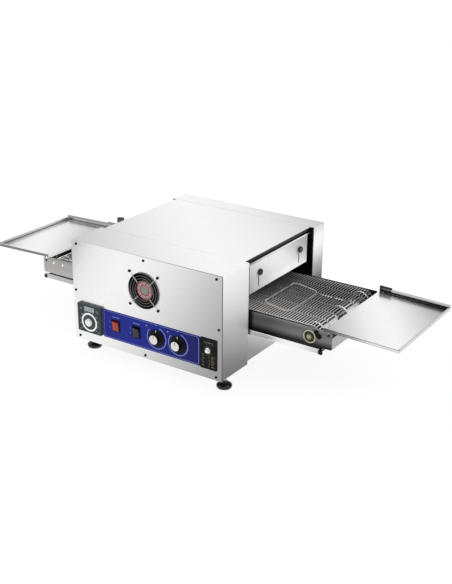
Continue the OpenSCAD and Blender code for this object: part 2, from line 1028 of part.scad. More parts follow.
// Bodies of the two heat regulators behind the front panel
module heat_regulators() {
    color("gray")
        for (x = [upper_knob_x, lower_knob_x])
            difference() {
                bar_y(x, control_z, regulator_r, front_y + sheet, regulator_y1);
                bar_y(x, control_z, knob_pin_r + fit, front_y, front_y + 14);
            }
}

// A skirted knob with a pointer cap and a shaft
module heat_knob(x) {
    skirt_y = front_y - overlay_t - 0.4;
    bar_y(x, control_z, knob_skirt_r, skirt_y - knob_t, skirt_y);
    bar_y(x, control_z, knob_body_r, front_y - knob_proud + 3, skirt_y - knob_t + eps);
    bar_y(x, control_z, knob_cap_r, front_y - knob_proud, front_y - knob_proud + 3 + eps);
    bar_y(x, control_z, knob_pin_r, skirt_y - eps, front_y + 12);
}

module upper_heat_knob() {
    color("gainsboro")
        heat_knob(upper_knob_x);
}

module lower_heat_knob() {
    color("gainsboro")
        heat_knob(lower_knob_x);
}

// Black plate of the over-temperature cutout, with the cutout's body behind it
module cutout_plate() {
    screw_at = 6.5;
    color("black")
        difference() {
            union() {
                slab_xz(front_y - cutout_t, front_y)
                    round_rect([plate_x0, plate_z0], [plate_x1, plate_z1], 4);
                slab_xz(front_y, cutout_body_y1)
                    translate([reset_x, reset_z])
                        square([cutout_body_w, cutout_body_h], center = true);
                for (z = [plate_z0 + screw_at, plate_z1 - screw_at])
                    bar_y((plate_x0 + plate_x1) / 2, z, 3.2, front_y - cutout_t - 1.6, front_y);
            }
            bar_y(reset_x, reset_z, reset_r + fit, front_y - cutout_t - eps, front_y + 15);
        }
}

module reset_button() {
    color("white")
        bar_y(reset_x, reset_z, reset_r, front_y - cutout_t - reset_proud, front_y + 15 - reset_travel - 1);
}

// ---- fan ----

module fan_frame() {
    corner_r = 6;
    half = fan_size / 2;
    color("black")
        translate([0, 0, fan_z]) {
            slab_xz(fan_y0, fan_y0 + fan_d)
                difference() {
                    round_rect([-half, -half], [half, half], corner_r);
                    circle(r = fan_duct_r);
                }
            slab_xz(fan_y0 + fan_d - fan_stator_t, fan_y0 + fan_d)
                difference() {
                    union() {
                        circle(r = fan_hub_r - 1);
                        for (turn = [45, 135])
                            rotate(turn)
                                square([2 * fan_duct_r + 2, fan_strut_w], center = true);
                    }
                    circle(r = fan_pin_r + fit);
                }
        }
}

module fan_rotor() {
    hub_y0 = fan_y0 + 3;
    hub_y1 = fan_y0 + fan_d - fan_stator_t - 1.5;
    color("black") {
        bar_y(0, fan_z, fan_hub_r, hub_y0, hub_y1);
        bar_y(0, fan_z, fan_pin_r, hub_y1 - eps, fan_y0 + fan_d - 1);
        for (blade = [0 : fan_blades - 1])
            translate([0, (hub_y0 + hub_y1) / 2, fan_z])
                rotate([0, blade * 360 / fan_blades, 0])
                    translate([fan_hub_r - 2, 0, 0])
                        rotate([blade_pitch, 0, 0])
                            translate([0, -blade_w / 2, -blade_t / 2])
                                cube([fan_tip_r - fan_hub_r, blade_w, blade_t]);
    }
}

// Wire guard: rings on four legs that are screwed through the panel to the fan
module fan_guard() {
    leg_in = guard_rings[0] - guard_leg_r;
    leg_out = fan_screw * sqrt(2);
    color("silver")
        translate([0, 0, fan_z]) {
            for (r = guard_rings)
                translate([0, guard_y, 0])
                    rotate([90, 0, 0])
                        rotate_extrude()
                            translate([r, 0])
                                circle(r = guard_wire_r);
            for (turn = [45, 135, 225, 315])
                rotate([0, turn, 0]) {
                    bar_x(guard_y + 1.7, 0, guard_leg_r, leg_in, leg_out);
                    bar_y(leg_out, 0, 5, front_y - 2.6, front_y);
                    bar_y(leg_out, 0, 3.8, front_y - 4.6, front_y - 2);
                }
        }
}

// ---- feet, trays and inlet ----

// A domed levelling foot on a threaded stem with its lock nut
module foot(x, y) {
    color("black")
        translate([x, y, 0]) {
            rotate_extrude()
                intersection() {
                    translate([0, foot_dome_h - 34])
                        circle(r = 34);
                    rect([0, 0], [foot_r, foot_dome_h]);
                }
            translate([0, 0, foot_dome_h - 4])
                cylinder(r = stem_r + 4, h = 8);
            cylinder(r = stem_r, h = foot_h + stem_len);
            translate([0, 0, foot_h - nut_t - gap])
                cylinder(r = nut_r, h = nut_t, $fn = 6);
        }
}

module front_left_foot() {
    foot(-foot_x, -foot_y);
}

module front_right_foot() {
    foot(foot_x, -foot_y);
}

module rear_left_foot() {
    foot(-foot_x, foot_y);
}

module rear_right_foot() {
    foot(foot_x, foot_y);
}

// The right-hand landing tray: a sloping sheet with lips, hung on the hook rod
module tray() {
    tray_x0 = plate_end_x - 26;
    tray_y0 = crumb_y0;
    tray_y1 = crumb_y1;
    surface_z = belt_top_z - 2;
    hem = 10;
    tab_len = 42;
    tab_h = 22;
    hook_y = [-100, 170];
    hook_t = 3;
    saddle = 8;
    slope = atan(tray_fall / tray_len);
    translate([tray_x0, 0, surface_z])
        rotate([0, slope, 0]) {
            block([0, tray_y0, -sheet], [tray_len, tray_y1, 0]);
            block([0, tray_y0, -sheet], [tray_len, tray_y0 + sheet, tray_lip]);
            block([tray_len - sheet, tray_y0, -sheet], [tray_len, tray_y1, tray_lip]);
            block([0, tray_y1 - sheet, -sheet], [tray_len, tray_y1, tray_rear_lip]);
            block([tab_len, tray_y1 - hem, tray_rear_lip - sheet], [tray_len, tray_y1, tray_rear_lip]);
            block([0, tray_y1 - sheet, 0], [tab_len, tray_y1, tab_h]);
            translate([0, 0, -sheet])
                rotate([0, 150, 0])
                    block([-0.5, tray_y0 + hem, -sheet], [7, tray_y1 - hem, 0]);
        }
    for (y = hook_y)
        slab_xz(y, y + hook_t)
            difference() {
                rect([hook_x - saddle, hook_z - 12], [hook_x + saddle, surface_z - sheet]);
                translate([hook_x, hook_z]) {
                    circle(r = hook_r + gap);
                    rect([-hook_r - gap, -20], [hook_r + gap, 0]);
                }
            }
}

module right_tray() {
    color("lightgray")
        tray();
}

module left_tray() {
    color("lightgray")
        mirror([1, 0, 0])
            tray();
}

// The right-hand crumb tray: a shallow pan that slides out along the rails
module crumb_tray() {
    floor_z = rail_z + slack;
    x0 = crumb_inner_x;
    x1 = crumb_inner_x + crumb_len;
    block([x0, crumb_y0, floor_z], [x1, crumb_y1, floor_z + crumb_t]);
    block([x0, crumb_y0, floor_z], [x1, crumb_y0 + crumb_t, floor_z + crumb_h]);
    block([x0, crumb_y1 - crumb_t, floor_z], [x1, crumb_y1, floor_z + crumb_h]);
    for (x = [x0, x1 - crumb_t])
        block([x, crumb_y0, floor_z], [x + crumb_t, crumb_y1, floor_z + crumb_end_h]);
    block([x1 - crumb_t, crumb_y0 + 120, floor_z + crumb_end_h - crumb_t],
        [x1 + crumb_grip, crumb_y1 - 120, floor_z + crumb_end_h]);
}

module right_crumb_tray() {
    color("lightgray")
        crumb_tray();
}

module left_crumb_tray() {
    color("lightgray")
        translate([-crumb_pull, 0, 0])
            mirror([1, 0, 0])
                crumb_tray();
}

// Terminal block for the mains lead, on the floor of the rear box
module terminal_block() {
    ways = 4;
    way_w = 12;
    color("ivory")
        difference() {
            block([gland_x - 24, rear_seam_y + 16, bottom_z + sheet], [gland_x + 24, rear_seam_y + 38, bottom_z + 26]);
            for (way = [0 : ways - 1])
                bar_y(gland_x - 18 + way * way_w, bottom_z + 15, 3, rear_seam_y, back_y);
        }
}

// Gland that the mains lead would enter through
module cable_gland() {
    inner_y = back_y - sheet - 6;
    color("black")
        difference() {
            union() {
                bar_y(gland_x, gland_z, gland_body_r, inner_y, back_y + gland_nut_t + eps);
                bar_y(gland_x, gland_z, gland_nut_r, inner_y, back_y - sheet);
                translate([gland_x, back_y, gland_z])
                    rotate([-90, 0, 0])
                        cylinder(r = gland_nut_r, h = gland_nut_t, $fn = 6);
                bar_y(gland_x, gland_z, gland_nut_r - 2, back_y + gland_nut_t, back_y + knob_proud);
            }
            bar_y(gland_x, gland_z, gland_bore_r, inner_y - eps, back_y + knob_proud + eps);
        }
}

// ---- nodes ----

front_panel();
control_box_shell();
control_box_inner_wall();
panel_screws();
tunnel_cover();
base_pan();
end_frames();
rear_box_shell();
rear_box_inner_wall();
back_panel();
right_door();
left_door();
right_door_front_thumbscrew();
right_door_rear_thumbscrew();
left_door_front_thumbscrew();
left_door_rear_thumbscrew();
chamber_ceiling();
insulation_blanket();
upper_heaters();
lower_heaters();
front_side_plate();
rear_side_plate();
support_rails();
frame_cross_ties();
belt_support_rods();
conveyor_belt();
drive_shaft();
drive_sprockets();
idler_shaft();
idler_sprockets();
shaft_bearings();
gear_motor();
motor_bracket();
motor_sprocket();
driven_sprocket();
drive_chain();
control_overlay();
speed_controller();
speed_dial();
switch_housings();
power_rocker();
selector_rocker();
heat_regulators();
upper_heat_knob();
lower_heat_knob();
cutout_plate();
reset_button();
fan_frame();
fan_rotor();
fan_guard();
front_left_foot();
front_right_foot();
rear_left_foot();
rear_right_foot();
left_tray();
right_tray();
left_crumb_tray();
right_crumb_tray();
terminal_block();
cable_gland();
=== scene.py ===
"""The looks of a countertop conveyor oven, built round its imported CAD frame.

Lengths are in millimetres until piece() turns each mesh into metres. Axes are those of
the frame: +X along the belt to the right, +Y to the back, +Z up, the table at z = 0.
"""
import json
import math

import bmesh
import bpy
from mathutils import Matrix, Vector


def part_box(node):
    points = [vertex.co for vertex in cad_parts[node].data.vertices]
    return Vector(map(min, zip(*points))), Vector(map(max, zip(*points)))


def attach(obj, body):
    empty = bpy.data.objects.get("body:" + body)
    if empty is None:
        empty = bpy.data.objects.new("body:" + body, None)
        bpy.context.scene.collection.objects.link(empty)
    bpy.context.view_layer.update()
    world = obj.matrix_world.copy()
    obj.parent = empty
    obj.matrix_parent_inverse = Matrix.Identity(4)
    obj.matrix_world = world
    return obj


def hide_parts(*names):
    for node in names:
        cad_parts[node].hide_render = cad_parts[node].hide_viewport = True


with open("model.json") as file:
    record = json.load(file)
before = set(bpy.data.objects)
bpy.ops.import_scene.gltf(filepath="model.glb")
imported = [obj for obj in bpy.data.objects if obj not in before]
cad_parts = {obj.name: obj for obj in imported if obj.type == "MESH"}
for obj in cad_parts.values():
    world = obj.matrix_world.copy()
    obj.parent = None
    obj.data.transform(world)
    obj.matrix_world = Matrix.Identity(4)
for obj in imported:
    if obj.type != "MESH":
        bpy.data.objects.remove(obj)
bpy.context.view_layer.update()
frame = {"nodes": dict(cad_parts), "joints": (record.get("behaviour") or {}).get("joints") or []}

MM = 0.001
ROOT = "oven"
NODES = frame["nodes"]


def span(node):
    """Lowest and highest corner of a CAD node, in millimetres."""
    low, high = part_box(node)
    return low / MM, high / MM


def joint_at(name):
    """A point on a joint's axis, in millimetres."""
    return next(Vector(j["pos_m"]) / MM for j in frame["joints"] if j["name"] == name)


# ---- camera, light and floor ----

CAMERA_AT = Vector((1.73707, -2.47756, 1.40798))
AZIMUTH = math.radians(33.51)
ELEVATION = math.radians(22.29)
ROLL = math.radians(0.5)
LENS = 62.2


def add_camera():
    """The camera of the main view."""
    right = Vector((math.cos(AZIMUTH), math.sin(AZIMUTH), 0))
    look = Vector((-math.sin(AZIMUTH) * math.cos(ELEVATION),
                   math.cos(AZIMUTH) * math.cos(ELEVATION), -math.sin(ELEVATION)))
    up = right.cross(look)
    right, up = (right * math.cos(ROLL) + up * math.sin(ROLL),
                 up * math.cos(ROLL) - right * math.sin(ROLL))
    data = bpy.data.cameras.new("camera")
    data.lens = LENS
    data.clip_end = 50
    camera = bpy.data.objects.new("camera", data)
    turn = Matrix((right, up, -look)).transposed().to_4x4()
    camera.matrix_world = Matrix.Translation(CAMERA_AT) @ turn
    bpy.context.scene.collection.objects.link(camera)
    bpy.context.scene.camera = camera


def add_area_light(name, place, target, size, power):
    """A softbox aimed at a target."""
    data = bpy.data.lights.new(name, "AREA")
    data.shape = "RECTANGLE"
    data.size, data.size_y = size
    data.energy = power
    lamp = bpy.data.objects.new(name, data)
    lamp.location = place
    lamp.rotation_euler = (Vector(target) - Vector(place)).to_track_quat("-Z", "Y").to_euler()
    bpy.context.scene.collection.objects.link(lamp)


def add_studio():
    """White surroundings, a little brighter overhead, with two softboxes for the highlights."""
    scene = bpy.context.scene
    scene.view_settings.view_transform = "Standard"
    world = bpy.data.worlds.new("studio")
    world.use_nodes = True
    tree = world.node_tree
    background = tree.nodes["Background"]
    coords = tree.nodes.new("ShaderNodeTexCoord")
    split = tree.nodes.new("ShaderNodeSeparateXYZ")
    height = tree.nodes.new("ShaderNodeMapRange")
    tree.links.new(coords.outputs["Generated"], split.inputs[0])
    tree.links.new(split.outputs["Z"], height.inputs[0])
    for socket, value in enumerate((-0.1, 0.9, 0.97, 1.06), 1):
        height.inputs[socket].default_value = value
    tree.links.new(height.outputs[0], background.inputs["Strength"])
    background.inputs["Color"].default_value = (1, 1, 1, 1)
    scene.world = world
    middle = (0, 0, 0.25)
    add_area_light("key", (-1.5, -2.6, 2.9), middle, (0.9, 0.9), 16)
    add_area_light("rim", (2.2, 1.6, 2.4), middle, (0.8, 0.8), 10)


def add_floor():
    """The paper that the oven stands on."""
    bm = bmesh.new()
    bmesh.ops.create_grid(bm, x_segments=8, y_segments=8, size=40)
    mesh = bpy.data.meshes.new("floor")
    bm.to_mesh(mesh)
    bm.free()
    mesh.materials.append(floor_paper())
    floor = bpy.data.objects.new("floor", mesh)
    bpy.context.scene.collection.objects.link(floor)


# ---- materials ----

def start_material(name):
    """A new node material with its Principled shader and a way to add and wire nodes."""
    material = bpy.data.materials.new(name)
    material.use_nodes = True
    tree = material.node_tree
    shader = tree.nodes["Principled BSDF"]

    def add(kind, values=(), **settings):
        node = tree.nodes.new(kind)
        for key, value in settings.items():
            setattr(node, key, value)
        for socket, value in dict(values).items():
            if isinstance(value, bpy.types.NodeSocket):
                tree.links.new(value, node.inputs[socket])
            else:
                node.inputs[socket].default_value = value
        return node

    return material, shader, add, tree.links.new


def apply_painted_shading(add, colour, painted_shading, place):
    """Multiplies a colour by greys along directions in the frame: painted light and shade.

    Each ramp is (direction, stops) and each stop is (millimetres along it, grey)."""
    for direction, stops in painted_shading:
        along = add("ShaderNodeVectorMath", {0: place, 1: [d / MM for d in direction]},
                    operation="DOT_PRODUCT")
        first, last = stops[0][0], stops[-1][0]
        part = add("ShaderNodeMapRange", {0: along.outputs["Value"], 1: first, 2: last})
        ramp = add("ShaderNodeValToRGB", {0: part.outputs[0]})
        points = ramp.color_ramp.elements
        while len(points) < len(stops):
            points.new(0.5)
        for point, (at, grey) in zip(points, stops):
            point.position = (at - first) / (last - first)
            point.color = (grey, grey, grey, 1)
        mix = add("ShaderNodeMix", {0: 1.0, 6: colour, 7: ramp.outputs[0]},
                  data_type="RGBA", blend_type="MULTIPLY")
        colour = mix.outputs[2]
    return colour


def brushed(name, colour, roughness=0.3, along="X", grain=0.05,
            painted_shading=(), smudge=0.3, metallic=1.0):
    """Brushed sheet or bar: streaks along an axis in colour, roughness and relief, with smudges.

    On faces that look along that axis the streaks turn to the next one."""
    material, shader, add, link = start_material(name)
    coords = add("ShaderNodeTexCoord")
    place = coords.outputs["Object"]
    fine, coarse = 1400, 4
    order = "XYZ".index(along)
    scale = [fine] * 3
    scale[order] = coarse
    other = [fine] * 3
    other[(order + 1) % 3] = coarse
    normal = add("ShaderNodeSeparateXYZ", {0: coords.outputs["Normal"]})
    size = add("ShaderNodeMath", {0: normal.outputs[order]}, operation="ABSOLUTE")
    facing = add("ShaderNodeMath", {0: size.outputs[0], 1: 0.5}, operation="GREATER_THAN")
    first = add("ShaderNodeVectorMath", {0: place, 1: scale}, operation="MULTIPLY")
    second = add("ShaderNodeVectorMath", {0: place, 1: other}, operation="MULTIPLY")
    vector = add("ShaderNodeMix", {0: facing.outputs[0], 4: first.outputs[0],
                                   5: second.outputs[0]}, data_type="VECTOR")
    streaks = add("ShaderNodeTexNoise", {"Vector": vector.outputs[1], "Scale": 1.0,
                                         "Detail": 3.0, "Roughness": 0.6})
    smudges = add("ShaderNodeTexNoise", {"Vector": place, "Scale": 9.0, "Detail": 4.0,
                                         "Roughness": 0.55})
    tone = add("ShaderNodeMapRange", {0: streaks.outputs[0], 1: 0.3, 2: 0.7, 3: 1 - grain,
                                      4: 1 + grain / 2})
    haze = add("ShaderNodeMapRange", {0: smudges.outputs[0], 1: 0.35, 2: 0.7, 3: 1.0,
                                      4: 1 - smudge * grain})
    both = add("ShaderNodeMath", {0: tone.outputs[0], 1: haze.outputs[0]}, operation="MULTIPLY")
    base = add("ShaderNodeVectorMath", {0: colour, 3: both.outputs[0]}, operation="SCALE")
    link(apply_painted_shading(add, base.outputs[0], painted_shading, place), shader.inputs["Base Color"])
    rough = add("ShaderNodeMapRange", {0: streaks.outputs[0], 1: 0.25, 2: 0.75,
                                       3: roughness * 0.8, 4: roughness * 1.25})
    worn = add("ShaderNodeMapRange", {0: smudges.outputs[0], 1: 0.4, 2: 0.7, 3: 0.0, 4: 0.06})
    total = add("ShaderNodeMath", {0: rough.outputs[0], 1: worn.outputs[0]}, operation="ADD")
    link(total.outputs[0], shader.inputs["Roughness"])
    bump = add("ShaderNodeBump", {"Height": streaks.outputs[0], "Strength": 0.012,
                                  "Distance": 0.0001})
    link(bump.outputs[0], shader.inputs["Normal"])
    shader.inputs["Metallic"].default_value = metallic
    shader.inputs["Specular IOR Level"].default_value = 0.3
    return material


def moulded(name, colour, roughness=0.4, grain=0.03, relief=0.15, metallic=0.0, coat=0.0,
            specular=0.3, pitch=420, painted_shading=()):
    """Moulded plastic, paint, glaze or cast metal: fine speckle in colour, gloss and relief."""
    material, shader, add, link = start_material(name)
    place = add("ShaderNodeTexCoord").outputs["Object"]
    speckle = add("ShaderNodeTexNoise", {"Vector": place, "Scale": pitch, "Detail": 3.0})
    patches = add("ShaderNodeTexNoise", {"Vector": place, "Scale": pitch / 20, "Detail": 3.0})
    sum_of = add("ShaderNodeMath", {0: speckle.outputs[0], 1: patches.outputs[0]},
                 operation="ADD")
    tone = add("ShaderNodeMapRange", {0: sum_of.outputs[0], 1: 0.6, 2: 1.4, 3: 1 - 2 * grain,
                                      4: 1 + 2 * grain})
    base = add("ShaderNodeVectorMath", {0: colour, 3: tone.outputs[0]}, operation="SCALE")
    link(apply_painted_shading(add, base.outputs[0], painted_shading, place), shader.inputs["Base Color"])
    rough = add("ShaderNodeMapRange", {0: patches.outputs[0], 1: 0.3, 2: 0.7,
                                       3: roughness * 0.85, 4: roughness * 1.2})
    link(rough.outputs[0], shader.inputs["Roughness"])
    bump = add("ShaderNodeBump", {"Height": speckle.outputs[0], "Strength": relief,
                                  "Distance": 0.0002})
    link(bump.outputs[0], shader.inputs["Normal"])
    shader.inputs["Metallic"].default_value = metallic
    shader.inputs["Coat Weight"].default_value = coat
    shader.inputs["Specular IOR Level"].default_value = specular
    return material


def floor_paper():
    """Pale paper that glows a little, so that only the faintest shadow shows on it."""
    material = moulded("floor_paper", (0.12, 0.12, 0.12), 0.7, grain=0.004, relief=0.02,
                       specular=0.0, pitch=60)
    shader = material.node_tree.nodes["Principled BSDF"]
    shader.inputs["Emission Color"].default_value = (1, 1, 1, 1)
    shader.inputs["Emission Strength"].default_value = 0.9
    return material


# Painted light and shade: each table below darkens or lightens a base colour where reflections, shade and
# highlights fall on the surface; greys above 1 are painted highlights.
# Greys along directions in the frame. They began as greys of the photograph in linear
# light, and some were then adjusted until the render agreed with it.
TOP_PAINTED_SHADING = ((1, 1, 0), [(-560, 0.54), (-480, 0.61), (-340, 0.73), (-220, 0.82), (-100, 0.88),
                        (0, 0.91), (120, 0.88), (280, 0.81), (400, 0.71), (535, 0.58)])
FRONT_PAINTED_SHADING = ((1, 0, -0.6), [(-480, 0.55), (-430, 0.74), (-390, 0.81), (-285, 0.88),
                             (-200, 0.85), (-110, 0.77), (-10, 0.63), (50, 0.54), (120, 0.45),
                             (200, 0.35), (260, 0.30)])
SIDE_PAINTED_SHADING = ((0, 0.4, 1), [(-70, 0.16), (-40, 0.18), (0, 0.225), (50, 0.355), (80, 0.43),
                           (110, 0.55), (150, 0.77), (190, 0.90), (230, 0.97), (264, 1.0)])
REAR_PAINTED_SHADING = ((0, 0, 1), [(48, 0.36), (120, 0.28), (150, 0.07), (190, 0.07), (220, 0.26),
                         (250, 0.41), (280, 0.66), (310, 0.86), (345, 0.90), (365, 0.72), (377, 0.75)])
DOOR_PAINTED_SHADING = ((0, 1, 1.2), [(200, 0.38), (247, 0.56), (287, 0.70), (327, 0.82), (367, 0.96),
                           (418, 1.0), (467, 0.93), (507, 0.77), (557, 0.58), (600, 0.44)])
# Painted light: the door is made lighter low down, against the shade it stands in.
DOOR_LOW_PAINTED_LIGHT = ((0, 0, 1), [(267, 1.35), (280, 1.25), (300, 1.08), (330, 1.03), (355, 1.0)])
RIGHT_TRAY_PAINTED_SHADING = ((1, 0.67, 0), [(440, 0.44), (503, 0.61), (543, 0.71), (583, 0.82),
                                  (640, 0.90), (670, 0.90), (710, 0.83), (750, 0.73),
                                  (790, 0.62), (830, 0.50), (880, 0.42)])
LEFT_TRAY_PAINTED_SHADING = ((1, 0.6, 0), [(-820, 0.55), (-780, 0.74), (-740, 0.86), (-690, 0.90),
                                (-640, 0.84), (-600, 0.75), (-560, 0.65), (-520, 0.56),
                                (-480, 0.60), (-420, 0.68)])
# Painted highlights in bands across the belt's wraps, with painted shade between them.
TURN_PAINTED_SHADING = ((0, 1, 0), [(-132, 0.9), (-24, 0.9), (-14, 0.45), (28, 0.4), (38, 0.9), (98, 0.8),
                         (125, 0.25), (208, 0.25)])
# Painted highlight at the drums' outer ends, painted shade along the rest of them.
DRUM_PAINTED_SHADING = ((1, 0, 0), [(-509, 1.0), (-504, 1.0), (-501, 0.03), (501, 0.03), (504, 1.0),
                         (509, 1.0)])
BLUE_PAINTED_SHADING = ((1, 0, 0), [(-165, 1.1), (20, 1.1), (100, 0.85), (160, 0.6), (205, 0.55)])
# Painted shade and painted highlights in bands across the landing trays' lips and backs.
RIGHT_LIP_PAINTED_SHADING = (((1, 0, 0), [(527, 0.12), (560, 0.22), (620, 0.5), (680, 1.0), (756, 1.0)]),
                   ((0.0307, 0, 1), [(235.8, 0.3), (237.2, 0.35), (238.8, 1.0), (243.4, 1.0),
                                     (245, 0.4), (247.4, 0.4)]))
BACK_LIP_PAINTED_SHADING = (((0.0307, 0, 1), [(237, 0.035), (244, 0.035), (245.5, 1.0), (250.5, 0.9),
                                    (252, 0.25), (260, 0.25)]),
                  ((1, 0, 0), [(527, 0.2), (568, 0.2), (571, 1.0), (756, 0.8)]))
LEFT_BACK_PAINTED_SHADING = (((-0.0307, 0, 1), [(237, 0.25), (239, 0.25), (240.5, 1.0), (246, 1.0),
                                      (252, 0.7), (260, 0.5)]),)
# Painted shade on the belt, darker to the left and towards the back.
WIRE_X_PAINTED_SHADING = ((1, 0, 0), [(-560, 0.45), (-300, 0.45), (0, 0.6), (280, 1.0), (560, 1.0)])
WIRE_Y_PAINTED_SHADING = ((0, 1, 0), [(-132, 0.9), (-60, 0.8), (-10, 0.55), (60, 0.36), (160, 0.34),
                           (200, 0.6)])
BACK_PAINTED_SHADING = ((1, 0, 0.6), [(-260, 0.40), (-100, 0.52), (60, 0.70), (200, 0.80), (330, 0.72),
                           (500, 0.50)])
BASE_PAINTED_SHADING = ((0, 0.5, 1), [(-20, 0.27), (20, 0.31), (45, 0.42), (62, 0.50), (80, 0.62),
                           (130, 0.66)])
# Painted shade on the belt's lower run and sides, painted highlight on the tops of the upper run.
WIRE_PAINTED_SHADING = ((0, 0, 1), [(150, 0.01), (200, 0.015), (212, 0.05), (219.5, 0.25), (221.5, 1.0),
                         (224, 1.4)])
# Side plates: painted shade on their inner faces and low down, a painted highlight along the front
# plate's top edge, and painted reflection darker to the right.
LEFT_PLATE_PAINTED_SHADING = (((0, 1, 0), [(-142.2, 1.0), (-141.2, 1.0), (-140.6, 0.15), (-139, 0.15)]),
                    ((0, 0, 1), [(162, 1.15), (185, 1.0), (208, 0.95), (217, 0.75)]))
FRONT_PLATE_PAINTED_SHADING = (((0, 0, 1), [(160, 0.12), (169, 0.22), (173, 0.5), (178, 0.80), (185, 1.4),
                                  (195, 1.35), (205, 1.15), (211, 1.2), (215, 1.6), (220, 2.1)]),
                     ((1, 0, 0), [(-560, 1.0), (-200, 1.0), (200, 0.28), (560, 0.34)]),
                     ((0, 1, 0), [(-142.2, 1.0), (-141.2, 1.0), (-140.6, 0.25), (-139, 0.25)]))
REAR_PLATE_PAINTED_SHADING = (((0, 1, 0), [(214, 0.25), (215.6, 0.25), (216.2, 1.0), (218, 1.0)]),)
# Painted shade inside the crumb trays, lighter and darker along them.
CRUMB_PAINTED_SHADING = (((0, 1, 0), [(-147.5, 1.0), (-145.8, 1.0), (-144.5, 0.12), (216, 0.12),
                            (217.2, 0.8)]),
               ((1, 0, 0), [(-560, 0.6), (-300, 0.4), (200, 0.9), (275, 1.15), (330, 1.1),
                            (390, 1.05), (440, 1.0), (520, 0.62)]))
